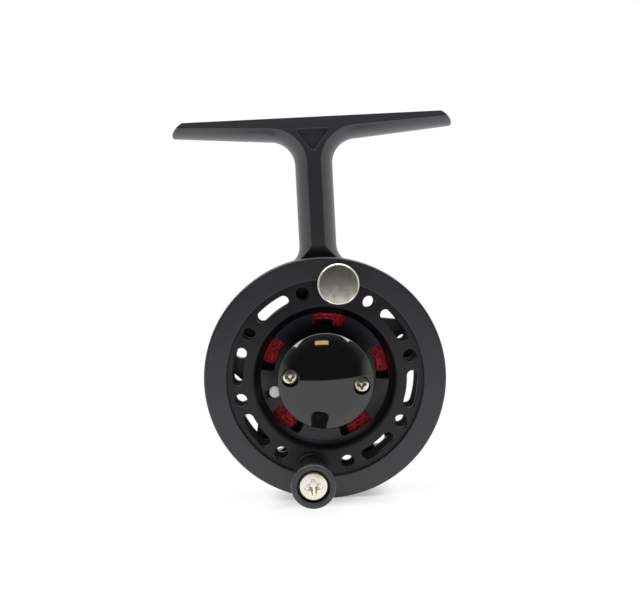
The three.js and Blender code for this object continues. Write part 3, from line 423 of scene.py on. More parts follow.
def carved(piece, tools, operation="DIFFERENCE"):
    """Piece after each tool is cut out of it or joined to it; the tools are used up."""
    for tool in tools:
        change = piece.modifiers.new(operation.title(), "BOOLEAN")
        change.operation = operation
        change.solver = "EXACT"
        change.object = tool
        bpy.context.view_layer.update()
        shape = bpy.data.meshes.new_from_object(piece.evaluated_get(bpy.context.evaluated_depsgraph_get()))
        piece.modifiers.remove(change)
        piece.data = shape
        shape.name = piece.name
        bpy.data.objects.remove(tool)
        if not shape.polygons:
            raise RuntimeError(piece.name + " came out empty")
    return piece


def gathered(name, tools):
    """One cutter made of several that don't touch each other."""
    shape = bmesh.new()
    for tool in tools:
        shape.from_mesh(tool.data)
        bpy.data.objects.remove(tool)
    mesh = bpy.data.meshes.new(name)
    shape.to_mesh(mesh)
    shape.free()
    piece = bpy.data.objects.new(name, mesh)
    bpy.context.scene.collection.objects.link(piece)
    return piece


def cleaned(piece):
    """Merges points that a cut left on top of each other and drops faces of no area."""
    shape = bmesh.new()
    shape.from_mesh(piece.data)
    bmesh.ops.remove_doubles(shape, verts=shape.verts, dist=2e-6)
    bmesh.ops.dissolve_degenerate(shape, edges=shape.edges, dist=1e-6)
    shape.to_mesh(piece.data)
    shape.free()
    return piece


def fitted(piece, body, slot, material, *nodes, sharp=32):
    """Smooths a piece, gives it its finish and puts it on its body in place of CAD nodes."""
    piece.data.shade_smooth()
    piece.data.set_sharp_from_angle(angle=math.radians(sharp))
    weighted = piece.modifiers.new("Weighted Normals", "WEIGHTED_NORMAL")
    weighted.keep_sharp = True
    weighted.weight = 80
    piece.data.materials.clear()
    piece.data.materials.append(finish_named(material))
    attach(piece, body)
    if nodes:
        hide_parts(*nodes)
    return piece


def circle(radius, centre):
    points = [around(radius, side * 360 / HOLE_SIDES) for side in range(HOLE_SIDES)]
    return [(centre[0] + x, centre[1] + z) for x, z in points]


def arc(radius, start, end, steps):
    return [around(radius, start + (end - start) * step / steps) for step in range(steps + 1)]


def curved_slot(radius, half_width, middle, half_angle):
    """Slot with round ends, bent along a circle."""
    low, high = middle - half_angle, middle + half_angle
    outline = arc(radius + half_width, low, high, 14)
    end, start = around(radius, high), around(radius, low)
    outline += [(end[0] + x, end[1] + z) for x, z in arc(half_width, high, high + 180, 12)][1:-1]
    outline += arc(radius - half_width, high, low, 14)
    outline += [(start[0] + x, start[1] + z) for x, z in arc(half_width, low + 180, low + 360, 12)][1:-1]
    return outline


def sector(inner, outer, middle, half_angle, corner):
    """Sector between two radii, with rounded corners."""
    def at(radius, share):
        return around(radius, middle + half_angle * share)

    inward, outward = 1 - math.degrees(corner / inner) / half_angle, 1 - math.degrees(corner / outer) / half_angle
    path = []

    def bend(start, corner_point, end):
        for step in range(7):
            share = step / 6
            path.append(tuple(
                (1 - share) ** 2 * start[axis] + 2 * share * (1 - share) * corner_point[axis] + share ** 2 * end[axis]
                for axis in (0, 1)))

    for step in range(1, 12):
        path.append(at(outer, -outward + 2 * outward * step / 12))
    bend(at(outer, outward), at(outer, 1), at(outer - corner, 1))
    bend(at(inner + corner, 1), at(inner, 1), at(inner, inward))
    for step in range(1, 12):
        path.append(at(inner, inward - 2 * inward * step / 12))
    bend(at(inner, -inward), at(inner, -1), at(inner + corner, -1))
    bend(at(outer - corner, -1), at(outer, -1), at(outer, -outward))
    return path


# Finishes

class Term:
    """A shader socket that sums are written with; each sum adds its Math node."""

    def __init__(self, finish, socket):
        self.finish = finish
        self.socket = socket

    def __add__(self, other):
        return self.finish.math("ADD", self, other)

    def __radd__(self, other):
        return self.finish.math("ADD", other, self)

    def __sub__(self, other):
        return self.finish.math("SUBTRACT", self, other)

    def __rsub__(self, other):
        return self.finish.math("SUBTRACT", other, self)

    def __mul__(self, other):
        return self.finish.math("MULTIPLY", self, other)

    def __rmul__(self, other):
        return self.finish.math("MULTIPLY", other, self)

    def __truediv__(self, other):
        return self.finish.math("DIVIDE", self, other)

    def __rtruediv__(self, other):
        return self.finish.math("DIVIDE", other, self)

    def __pow__(self, other):
        return self.finish.math("POWER", self, other)

    def __rpow__(self, other):
        return self.finish.math("POWER", other, self)


class Finish:
    """A node tree under construction."""

    def __init__(self, owner):
        owner.use_nodes = True
        self.tree = owner.node_tree
        self.tree.nodes.clear()

    def node(self, kind, settings=None, values=None, output=0):
        """Adds a node with its settings first, then its sockets' values or links, and gives one output."""
        added = self.tree.nodes.new(kind)
        for name, setting in (settings or {}).items():
            setattr(added, name, setting)
        for name, value in (values or {}).items():
            if isinstance(value, Term):
                self.tree.links.new(value.socket, added.inputs[name])
            else:
                added.inputs[name].default_value = value
        return Term(self, added.outputs[output]) if added.outputs else added

    def math(self, operation, first, second=0.0):
        return self.node("ShaderNodeMath", {"operation": operation}, {0: first, 1: second})

    def blend(self, share, first, second):
        """Colour between two others."""
        return self.node("ShaderNodeMix", {"data_type": "RGBA"}, {0: share, 6: first, 7: second}, output=2)

    def noise(self, place, scale, detail=2.0, roughness=0.5, distortion=0.0):
        return self.node("ShaderNodeTexNoise", None, {
            "Vector": place, "Scale": scale, "Detail": detail, "Roughness": roughness, "Distortion": distortion})

    def span(self, value, low, high):
        """Value's smooth climb from 0 at low to 1 at high."""
        return self.node("ShaderNodeMapRange", {"interpolation_type": "SMOOTHSTEP"}, {
            "Value": value, "From Min": low, "From Max": high})

    def place(self):
        """Place on the piece in metres."""
        return self.node("ShaderNodeTexCoord", output="Object")

    def along(self, place, axis):
        return self.node("ShaderNodeSeparateXYZ", None, {0: place}, output=axis)

    def ray(self, kind):
        """1 for rays of that kind, otherwise 0."""
        return self.node("ShaderNodeLightPath", output=f"Is {kind} Ray")

    def from_axis(self, place, centre=(0.0, 0.0)):
        """Distance from a line through the centre, along the spool's axis."""
        centre_x, centre_z = AXIS_X + centre[0], AXIS_Z + centre[1]
        east, north = self.along(place, "X") - centre_x, self.along(place, "Z") - centre_z
        return (east * east + north * north) ** 0.5

    def stretched(self, place, scale):
        """Place with each axis scaled by itself."""
        return self.node("ShaderNodeMapping", None, {"Vector": place, "Scale": scale})

    def bump(self, height, strength, distance):
        return self.node("ShaderNodeBump", None, {"Height": height, "Strength": strength, "Distance": distance})


def shade(colour, factor=1.0):
    return tuple(min(1.0, channel * factor) for channel in colour) + (1.0,)


def surface(name, build, **constants):
    """Material whose build function gives what changes over it; the rest are set on the shader itself."""
    material = bpy.data.materials.new(name)
    finish = Finish(material)
    varying = build(finish)
    shader = finish.node("ShaderNodeBsdfPrincipled", None, {**constants, **varying})
    finish.node("ShaderNodeOutputMaterial", None, {"Surface": shader})
    return material


def anodised(name, colour, roughness, matte_inside=0.0, matte_band=None, painted_light_from=None):
    """Bead-blasted, dyed aluminium: fine grain, faint clouding and rubbed specks, with painted light and shade by
    place.
    """
    def build(finish):
        place = finish.place()
        clouds = finish.noise(place, 140.0, 3.0)
        grain = finish.noise(place, 5200.0, 2.0, 0.6)
        rubs = finish.span(finish.noise(finish.stretched(place, (1.0, 1.0, 0.35)), 900.0, 4.0, 0.7), 0.66, 0.78)
        tone = finish.blend(clouds, shade(colour, 0.88), shade(colour, 1.14))
        tone = finish.blend(rubs * 0.35, tone, shade(colour, 2.4))
        gloss = roughness + (clouds - 0.5) * 0.10 + (grain - 0.5) * 0.08
        height = finish.along(place, "Z") - AXIS_Z
        painted_shade_metallic = 0.0
        if matte_band:
            reach = finish.from_axis(place)
            inner, outer = matte_band
            within = finish.span(reach, inner - 0.2 * MM, inner) * (1 - finish.span(reach, outer, outer + 0.2 * MM))
            gloss = gloss + within * matte_inside
            tone = finish.blend(within * 0.8, tone, shade(colour, 0.5))
            # Painted shade: the holed band is darkened beside the bowl's lip.
            painted_shade_by_lip = within * (1 - finish.span(reach, inner, inner + 2.4 * MM))
            tone = finish.blend(painted_shade_by_lip * 0.9, tone, shade(colour, 0.4))
            bowl = 1 - finish.span(reach, inner - 0.6 * MM, inner)
            # Painted light: the bowl's floor below the cap is lightened, as a pool of light from above.
            painted_light_low_bowl = bowl * (1 - finish.span(height, -15.5 * MM, -10.0 * MM))
            tone = finish.blend(painted_light_low_bowl * 0.85, tone, (0.112, 0.112, 0.124, 1))
            # Painted shade: metallic on the near-black colour dims reflections, more towards the top of the holed
            # band and of the bowl.
            painted_shade_metallic = within * (0.30 + finish.span(height, 5.0 * MM, 17.0 * MM) * 0.25)
            painted_shade_metallic = painted_shade_metallic + bowl * finish.span(height, -4.0 * MM, 13.0 * MM) * 0.75
        if painted_light_from:
            # Painted light: the frame grows paler towards the top of the foot.
            tone = finish.blend(finish.span(height, painted_light_from, FOOT_TOP + 2.0 * MM) * 0.85, tone, shade(colour, 2.3))
        return {
            "Base Color": tone, "Roughness": gloss, "Metallic": painted_shade_metallic, "Normal": finish.bump(grain, 0.16, 0.02 * MM)}

    return surface(name, build, **{"IOR": 1.64})


def polished_black(name, colour):
    """Polished, lacquered black with faint wiping marks."""
    def build(finish):
        place = finish.place()
        wipes = finish.noise(finish.stretched(place, (1.0, 1.0, 3.0)), 260.0, 5.0, 0.65, 0.6)
        dust = finish.span(finish.noise(place, 3200.0, 1.0), 0.72, 0.80)
        tone = finish.blend(dust * 0.25, shade(colour), shade(colour, 6.0))
        gloss = 0.035 + wipes * 0.035 + dust * 0.12
        return {"Base Color": tone, "Roughness": gloss, "Normal": finish.bump(wipes, 0.03, 0.02 * MM)}

    return surface(name, build, **{"IOR": 1.68})


def moulded(name, colour, centre, face):
    """Turned black knob with faint lathe lines about its own axis, and painted shade darkening all of it behind the
    face.
    """
    def build(finish):
        place = finish.place()
        depth = finish.along(place, "Y")
        lines = finish.math("SINE", (depth + finish.from_axis(place, centre)) * (2 * math.pi / (0.22 * MM)))
        clouds = finish.noise(place, 420.0, 4.0, 0.6)
        tone = finish.blend(clouds, shade(colour, 0.8), shade(colour, 1.3))
        # Painted shade: the knob's waist and shaft are darkened behind the face, which is left lighter.
        painted_shade_behind_face = finish.span(depth - RING_FRONT, face + 0.5 * MM, face + 1.6 * MM)
        tone = finish.blend(painted_shade_behind_face * 0.9, tone, shade(colour, 0.25))
        gloss = 0.27 + clouds * 0.10
        return {"Base Color": tone, "Roughness": gloss, "Normal": finish.bump(lines + clouds * 2.0, 0.05, 0.01 * MM)}

    return surface(name, build, **{"IOR": 1.5})


def bare_metal(name, colour, roughness, centre, ring_pitch=0.12 * MM, relief=0.2, tint=(0.9, 0.82, 0.62),
               soiled=0.0, metallic=1.0):
    """Bright metal, turned about a centre, with stains, hairlines and dirt within the soiled radius."""
    def build(finish):
        place = finish.place()
        clouds = finish.noise(place, 360.0, 4.0, 0.55)
        scratches = finish.noise(finish.stretched(place, (9.0, 9.0, 0.6)), 800.0, 3.0, 0.7)
        tone = finish.blend(finish.span(clouds, 0.38, 0.82), shade(colour), shade(
            tuple(channel * stain for channel, stain in zip(colour, tint))))
        height = scratches * 0.6
        reach = finish.from_axis(place, centre)
        wander = finish.noise(place, 260.0, 1.0) * 0.3
        height = height + finish.math("SINE", (reach / ring_pitch + wander) * (2 * math.pi)) * 0.5
        if soiled:
            dirt = (1 - finish.span(reach, soiled * 0.72, soiled)) * finish.span(clouds, 0.30, 0.55)
            tone = finish.blend(dirt * 0.75, tone, shade((0.42, 0.33, 0.20)))
        gloss = roughness + (clouds - 0.5) * 0.10 + (scratches - 0.5) * 0.06
        return {"Base Color": tone, "Roughness": gloss, "Normal": finish.bump(height, relief, 0.01 * MM)}

    return surface(name, build, **{"Metallic": metallic})


def braided(name, colour):
    """Soft braided line: fuzzy strands of uneven red, painted near black as shade where it lies deep in the bed."""
    def build(finish):
        place = finish.place()
        fuzz = finish.noise(place, 5200.0, 5.0, 0.75)
        patches = finish.noise(place, 1500.0, 3.0, 0.6, 0.8)
        weave = finish.node("ShaderNodeTexVoronoi", {"feature": "F1"}, {"Vector": place, "Scale": 3600.0})
        tone = finish.blend(finish.span(patches, 0.38, 0.62), shade(colour, 0.30), shade(colour, 1.5))
        tone = finish.blend(finish.span(fuzz, 0.58, 0.75) * 0.5, tone, (0.80, 0.10, 0.20, 1))
        # Painted shade: the line turns near black deeper than about 7 mm, inside the bed's outer edge.
        depth = finish.along(place, "Y") - RING_FRONT
        inside = 1 - finish.span(finish.from_axis(place), 16.8 * MM, 17.3 * MM)
        tone = finish.blend(finish.span(depth, 7.0 * MM, 7.7 * MM) * inside * 0.98, tone, (0.003, 0.001, 0.001, 1))
        height = weave * 0.8 + fuzz * 0.7
        return {"Base Color": tone, "Roughness": 0.62 + fuzz * 0.3, "Normal": finish.bump(height, 0.7, 0.12 * MM)}

    return surface(name, build, **{
        "Sheen Weight": 0.45, "Sheen Roughness": 0.4, "Sheen Tint": (1.0, 0.45, 0.5, 1.0)})


def pressed_felt(name, colour):
    def build(finish):
        place = finish.place()
        fibres = finish.noise(place, 3800.0, 6.0, 0.75, 1.5)
        tone = finish.blend(fibres, shade(colour, 0.6), shade(colour, 1.4))
        return {"Base Color": tone, "Roughness": 0.85 + fibres * 0.15, "Normal": finish.bump(fibres, 0.9, 0.15 * MM)}

    return surface(name, build, **{"Sheen Weight": 0.5})


def finish_named(name):
    """Material made by the finishes operator."""
    return bpy.data.materials[name]


class Step(bpy.types.Operator):
    """A build step that needs the reel's settings on the scene."""

    bl_options = {"REGISTER", "UNDO"}

    @classmethod
    def poll(cls, context):
        return hasattr(context.scene, "fly_reel_spool")


class FLYREEL_OT_finishes(Step):
    """Make the finishes of every piece"""

    bl_idname = "fly_reel.finishes"
    bl_label = "Finishes"

    def execute(self, context):
        colours, spool = sizes("colours"), sizes("spool")
        weight_spot = around(spool.post_reach, HANDLE_ANGLE - 180)
        knob_spot = around(spool.post_reach, HANDLE_ANGLE)
        holed_band = (spool.bowl_radius - 0.3 * MM, spool.ring_radius - spool.ring_band - 0.1 * MM)
        anodised("Frame Black", colours.frame_black, 0.34, painted_light_from=50.0 * MM)
        anodised("Ring Black", colours.ring_black, 0.30, 0.17, holed_band)
        anodised("Rear Black", colours.frame_black, 0.36)
        polished_black("Cap Black", colours.cap_black)
        moulded("Knob Black", colours.knob_black, knob_spot, depths("handle_knob")[0])
        # Painted light: the knob screw's plating is a lighter copy of the cap screws' plating.
        bare_metal("Knob Screw Plate", shade(colours.bright, 1.14)[:3], 0.22, knob_spot, 0.35 * MM, 0.12)
        for node in CAP_SCREWS:
            bare_metal(node + " Plate", colours.bright, 0.17, middle(node), 0.3 * MM, 0.12, soiled=1.4 * MM)
        bare_metal(
            "Line Pin Steel", (0.96, 0.96, 0.96), 0.5, middle("line_pin"), tint=(0.97, 0.97, 0.97), metallic=0.3)
        bare_metal("Weight Steel", colours.weight, 0.20, weight_spot, 0.10 * MM, 0.10, (0.66, 0.58, 0.48))
        bare_metal("Ground Steel", colours.steel, 0.27, (0.0, 0.0), 0.14 * MM, 0.2, (0.95, 0.93, 0.90))
        bare_metal("Bearing Steel", colours.steel, 0.14, (0.0, 0.0), 0.2 * MM, 0.06, (0.98, 0.98, 0.97))
        bare_metal("Machined Brass", colours.brass, 0.30, (0.0, 0.0), 0.16 * MM, 0.2, (0.85, 0.75, 0.6))
        bare_metal("Bore Aluminium", colours.steel, 0.38, (0.0, 0.0), 0.18 * MM, 0.25, (0.9, 0.9, 0.9))
        braided("Red Line", colours.line_red)
        pressed_felt("Drag Felt", colours.felt)
        return {"FINISHED"}


# Frame

def foot_outline(inset):
    """Foot and stem seen from the front, drawn in by the flank's inset at one layer."""
    casting, spool = sizes("frame"), sizes("spool")
    share = inset / casting.flank_inset
    half = casting.foot_length / 2 - 1.8 * MM * share
    stem_half = casting.stem_width / 2 - inset
    fillet_x, fillet_z, fillet = casting.stem_width / 2 + 6.2 * MM, FOOT_TOP - 11.3 * MM, 6.2 * MM
    stem_base, flare_drop = spool.ring_radius - 1.8 * MM, 4.3 * MM
    bevel_start = casting.foot_length / 2 - casting.tip_bevel
    tip_bottom = FOOT_TOP - 3.1 * MM + inset * 0.6
    tip_top = FOOT_TOP - 2.2 * MM * (half - bevel_start) / casting.tip_bevel
    corners = [(stem_half + 4.0 * MM, stem_base, 0)]
    for step in range(9):
        turn = math.radians(90 - 11.25 * step)
        corners.append((
            stem_half + 4.0 * MM * (1 - math.cos(turn)),
            stem_base + 0.3 * MM + flare_drop * (1 - math.sin(turn)),
            0,
        ))
    for step in range(15):
        turn = math.radians(180 - step * 90 / 14)
        corners.append((
            fillet_x + (fillet + inset) * math.cos(turn),
            fillet_z + (fillet + inset * 0.9) * math.sin(turn),
            0,
        ))
    corners.append((half, tip_bottom, 0.3 * MM))
    corners.append((half, tip_top, 0.3 * MM))
    corners.append((bevel_start, FOOT_TOP, 0.6 * MM))
    return rounded(corners + [(-x, z, reach) for x, z, reach in reversed(corners)], 3)


def foot_and_stem():
    """Foot and stem in one piece, with flanks that slope away from flat front and back strips."""
    casting, spool = sizes("frame"), sizes("spool")
    middle_depth = (casting.foot_setback + depths("frame")[1] - HUB_STEP) / 2
    layers = [
        (grown(foot_outline(casting.flank_inset), -0.14 * MM), casting.foot_setback - 0.0001 * MM),
        (foot_outline(casting.flank_inset), casting.foot_setback + 0.05 * MM),
    ]
    first = math.radians(36)
    for step in range(1, 15):
        turn = first + (math.pi / 2 - first) * step / 14
        inset = casting.flank_inset * (1 - math.sin(turn)) / (1 - math.sin(first))
        depth = 6.0 * MM * (1 - math.cos(turn) / math.cos(first))
        layers.append((foot_outline(inset), casting.foot_setback + 0.05 * MM + depth))
    layers += [(outline, 2 * middle_depth - depth) for outline, depth in reversed(layers)]
    solid = lofted("foot_and_stem", layers)
    half = casting.pocket_width / 2
    top = FOOT_TOP - 2.8 * MM
    corner = 0.7 * MM
    triangle = rounded([(-half, top, corner), (0.0, top - 5.7 * MM, corner), (half, top, corner)], 5)
    floor = casting.foot_setback + 0.75 * MM
    pocket = lofted("pocket", [
        (grown(triangle, 0.12 * MM), casting.foot_setback - 1.0 * MM),
        (grown(triangle, 0.12 * MM), casting.foot_setback + 0.02 * MM),
        (triangle, casting.foot_setback + 0.08 * MM),
        (grown(triangle, -0.25 * MM), floor),
    ])
    rim = spool.ring_radius
    clearance = turned("ring_clearance", [
        (0.0, -1.0 * MM),
        (rim + 2.8 * MM, -1.0 * MM),
        (rim + 2.8 * MM, casting.foot_setback),
        (rim + 0.3 * MM, 4.1 * MM),
        (0.0, 4.1 * MM),
    ])
    return carved(solid, [pocket, clearance])


def arm_window():
    """Outline between two arms of the star, which narrow outwards, centred on +X."""
    casting, spool = sizes("frame"), sizes("spool")
    outer = spool.ring_radius - casting.ring_width
    half_angle = 36 - math.degrees(math.asin(casting.arm_end / outer))
    apex = (casting.hub_radius + 2.0 * MM, 0.0, 1.6 * MM)
    low, high = around(outer, -half_angle), around(outer, half_angle)
    path = [apex, (*low, 1.2 * MM)]
    path += [(x, z, 0) for x, z in arc(outer, -half_angle + 4, half_angle - 4, 26)]
    path.append((*high, 1.2 * MM))
    return rounded(path, 7)


def spun(outline, degrees):
    """Outline turned about the axis."""
    turn = math.radians(degrees)
    return [(x * math.cos(turn) - z * math.sin(turn), x * math.sin(turn) + z * math.cos(turn)) for x, z in outline]


def bore(name, radius, front, back, centre=(0.0, 0.0), sides=HOLE_SIDES):
    return turned(name, [(0.0, front), (radius, front), (radius, back), (0.0, back)], centre, sides)


class FLYREEL_OT_frame(Step):
    """Build the frame casting: star plate, rear hub, bridge, stem and foot"""

    bl_idname = "fly_reel.frame"
    bl_label = "Frame Casting"

    def execute(self, context):
        casting, spool = sizes("frame"), sizes("spool")
        rear = depths("frame")[1]
        back = rear - HUB_STEP
        front = back - casting.plate_thickness
        rim, hub = spool.ring_radius, casting.hub_radius
        edge = casting.edge
        plate = turned("frame_casting", rounded([
            (2.15 * MM, front + 0.8 * MM, 0.1 * MM),
            (3.2 * MM, front + 0.8 * MM, 0.1 * MM),
            (3.2 * MM, rear - 1.9 * MM, 0),
            (hub - 1.9 * MM, rear - 1.9 * MM, 0.3 * MM),
            (hub - 1.9 * MM, front, 0.2 * MM),
            (rim, front, edge),
            (rim, back, edge),
            (hub, back, 0.7 * MM),
            (hub, rear, 0.9 * MM),
            (2.15 * MM, rear, 0.2 * MM),
        ]))
        bridge_outline = sector(rim - 2.1 * MM, rim, 90, 24, edge)
        bridge_front = spool.ring_thickness + 0.8 * MM
        bridge = lofted("bridge", [
            (grown(bridge_outline, -0.3 * MM), bridge_front),
            (grown(bridge_outline, -0.09 * MM), bridge_front + 0.09 * MM),
            (bridge_outline, bridge_front + 0.3 * MM),
            (bridge_outline, back - 0.62 * MM),
        ])
        carved(plate, [bridge, foot_and_stem()], "UNION")
        window = arm_window()
        holes = [through("window", spun(window, angle + 36), front, back, 0.3 * MM) for angle in ARMS]
        holes += [
            through("arm_hole", circle(casting.arm_hole, around(rim - 8.0 * MM, angle)), front, back, 0.2 * MM)
            for angle in ARMS
        ]
        holes += [
            bore("pin_hole", 0.75 * MM, rear - 3.0 * MM, rear + 1.0 * MM, around(5.3 * MM, 90 + pin * 120), 24)
            for pin in range(3)
        ]
        carved(plate, [gathered("frame_holes", holes)])
        fitted(cleaned(plate), "frame_body", "frame_black", "Frame Black", "frame")
        return {"FINISHED"}


# Spool

def flange_holes(front, back):
    """Cutters of the round holes and curved slots that both flanges share."""
    spool = sizes("spool")
    half_angle = math.degrees(spool.slot_half_angle)
    tools = [
        through("hole", circle(spool.hole_radius, around(spool.hole_reach, angle)), front, back, spool.rim)
        for angle in ROUND_HOLES
    ]
    tools += [
        through(
            "slot", curved_slot(spool.hole_reach, spool.slot_half_width, angle, half_angle), front, back, spool.rim)
        for angle in SLOTS
    ]
    return tools


class FLYREEL_OT_spool_front(Step):
    """Build the spool's front: palming ring, holed band and ported bowl"""

    bl_idname = "fly_reel.spool_front"
    bl_label = "Spool Front"

    def execute(self, context):
        spool = sizes("spool")
        rim, band = spool.ring_radius, spool.ring_radius - spool.ring_band
        lip, floor_rim = spool.bowl_radius, spool.bowl_depth - spool.bowl_rise
        back = spool.bowl_depth + spool.wall
        cap_side = across("hub_cap") / 2 + 0.3 * MM
        corner = lip - 1.05 * MM
        flange = turned("spool_front", rounded([
            (HUB_BORE, spool.bowl_depth, 0),
            (cap_side, spool.bowl_depth, 0),
            (corner, floor_rim - 0.05 * MM, 0.45 * MM),
            (lip + 0.25 * MM, spool.recess, 1.15 * MM),
            (band, spool.recess, 0.25 * MM),
            (band, 0.0, 0.28 * MM),
            (rim, 0.0, spool.ring_edge),
            (rim, spool.ring_thickness, 0.5 * MM),
            (lip + spool.wall, spool.ring_thickness, 0.3 * MM),
            (corner + spool.wall, back, 0.8 * MM),
            (HUB_BORE, back, 0),
        ], 6), sides=256)
        posts = [around(spool.post_reach, angle) for angle in (HANDLE_ANGLE, HANDLE_ANGLE - 180)]
        pads = [
            turned("pad", rounded([
                (0.0, 0.05 * MM, 0),
                (4.6 * MM, 0.05 * MM, 0.3 * MM),
                (4.6 * MM, spool.ring_thickness - 0.05 * MM, 0),
                (0.0, spool.ring_thickness - 0.05 * MM, 0),
            ]), post, 72)
            for post in posts
        ]
        carved(flange, pads, "UNION")

        def floor(x, z):
            share = (math.hypot(x, z) - cap_side) / (corner - cap_side)
            return spool.bowl_depth - (spool.bowl_rise + 0.05 * MM) * share

        half_angle = math.degrees(spool.port_half_angle)
        ports = [
            through("port", sector(spool.port_inner, spool.port_inner + spool.port_length, angle, half_angle,
                                   0.8 * MM), floor, back, spool.rim)
            for angle in PORTS
        ]
        bores = [
            bore("handle_bore", 1.55 * MM, -1.0 * MM, back, posts[0]),
            bore("weight_bore", 1.35 * MM, -1.0 * MM, back, posts[1]),
        ]
        bores += [bore("cap_screw_bore", 1.3 * MM, 0.0, back + 1.0 * MM, middle(node)) for node in CAP_SCREWS]
        carved(flange, [gathered("flange_holes", flange_holes(spool.recess, spool.ring_thickness) + ports)])
        pin_bore = bore("pin_bore", 0.85 * MM, 0.0, back + 1.0 * MM, middle("line_pin"))
        carved(flange, [gathered("bores", bores), pin_bore])
        fitted(cleaned(flange), "spool_body", "spool_black", "Ring Black", "spool_front_flange")
        return {"FINISHED"}


class FLYREEL_OT_spool_back(Step):
    """Build the spool's back flange, with the same holes as the front"""

    bl_idname = "fly_reel.spool_back"
    bl_label = "Spool Back Flange"

    def execute(self, context):
        front, back = depths("spool_back_flange")
        rim = across("spool_back_flange") / 2
        flange = turned("spool_back", rounded([
            (HUB_BORE, front, 0),
            (rim, front, 0.42 * MM),
            (rim, back, 0.42 * MM),
            (HUB_BORE, back, 0),
        ]))
        carved(flange, [gathered("back_holes", flange_holes(front, back))])
        fitted(cleaned(flange), "spool_body", "spool_black", "Rear Black", "spool_back_flange")
        return {"FINISHED"}


class FLYREEL_OT_line(Step):
    """Wind the line: a spiral over the front of its bed, over the bed's edge and round its outside"""

    bl_idname = "fly_reel.line"
    bl_label = "Wound Line"

    def execute(self, context):
        line = sizes("line")
        bed_low, bed_high = depths("line_core")
        bed = across("line_core") / 2
        inner = 12.2 * MM
        rows = 6
        scallops = []
        for row in range(rows):
            reach = inner + 0.5 * MM + (bed - inner - 1.0 * MM) * row / (rows - 1)
            scallops += [(reach - 0.42 * MM, bed_low + 0.16 * MM), (reach, bed_low)]
        scallops += [(bed - 0.1 * MM, bed_low + 0.25 * MM), (bed, bed_low + 0.6 * MM)]
        scallops += [(bed - 0.15 * MM, bed_low + 1.0 * MM), (bed, bed_low + 1.4 * MM)]
        core = turned("line_bed", [
            (inner, bed_high), (inner, bed_low + 0.2 * MM), *scallops, (bed, bed_high),
        ], sides=160)
        # Each hollow is a little deeper than the one before it, so that where two meet no faces share a plane
        hollows = []
        for index, (angle, half_angle, low, high) in enumerate(LINE_HOLLOWS):
            outline = sector(low * MM + 0.05 * MM, high * MM, angle, half_angle, 0.3 * MM)
            step = bed_low + (0.55 + 0.04 * index) * MM
            floor = bed_low + (1.35 + 0.04 * index) * MM
            hollows.append(lofted("hollow", [
                (outline, bed_low - (1.0 + 0.04 * index) * MM), (outline, step), (grown(outline, -0.3 * MM), floor)]))
        carved(core, hollows)
        fitted(core, "spool_body", "red_line", "Red Line", "line_core", sharp=60)
        winding = self.wound(line)
        fitted(winding, "spool_body", "red_line", "Red Line", "line_winding", sharp=80)
        return {"FINISHED"}

    def path(self, line):
        """Middle of the line from its inner end to its outer end, hand-wound and swollen into the ports."""
        spool = sizes("spool")
        chance = random.Random(41)
        waves = [(chance.uniform(0.8, 4.2), chance.uniform(0, 6.28), chance.choice((3, 5, 7, 11))) for _ in range(7)]
        swell = dict(zip(PORTS, (0.45, 0.25, 0.6, 1.0, 0.45)))
        swell_start, swell_end, swell_length, swell_half_angle = 13.2 * MM, 15.7 * MM, 2.5 * MM, 12.5
        face = spool.bowl_depth + spool.wall + 0.28 * MM + line.thickness / 2
        start, bend = 12.8 * MM, 17.0 * MM
        loops = round((bend - start) / line.pitch)
        steps = 240
        side_loops = 1.35
        points = []
        for step in range(int((loops + 1 + side_loops) * steps) + 1):
            turns = step / steps
            angle = turns * 360
            on_face = min(turns / loops, 1.0)
            over = min(max(turns - loops, 0.0), 1.0) * math.pi / 2
            on_side = max(turns - loops - 1, 0.0) * line.pitch
            reach = start + (bend - start) * on_face + 1.0 * MM * math.sin(over)
            depth = face + 1.0 * MM * (1 - math.cos(over)) + on_side
            wander = sum(
                math.sin(math.radians(angle) * wave / count * 5 + phase) for wave, phase, count in waves) / len(waves)
            reach += line.waver * wander
            depth += line.waver * 0.5 * math.sin(math.radians(angle) * 2.6 + wander * 2)
            for port, share in swell.items():
                off = (angle - port + 180) % 360 - 180
                if abs(off) < swell_half_angle and swell_start < reach < swell_end:
                    outwards = math.sin(math.pi * (reach - swell_start) / swell_length) ** 0.5
                    depth -= line.bulge * share * outwards * math.cos(math.pi * off / (2 * swell_half_angle)) ** 2
            for hollow, half_angle, low, high in LINE_HOLLOWS:
                off = abs((angle - hollow + 180) % 360 - 180)
                edge = min(max((half_angle - off) / 3.5, 0.0), 1.0)
                if low * MM < reach < high * MM:
                    depth += line.hollow * edge * edge * (3 - 2 * edge)
            x, z = around(reach, angle)
            points.append(spot(x, depth, z))
        return points

    def wound(self, line):
        """Tube along the path, with a braid's slight crossing ribs."""
        def braid(index, turn):
            rib = math.cos(line.strands * turn + index * 1.9) * math.cos(line.strands * turn - index * 1.9)
            return line.thickness / 2 * (1 + 0.09 * rib)

        return tube("wound_line", self.path(line), braid, Vector((0, 1, 0)))


# Hub cap, screws, pin and counterweight

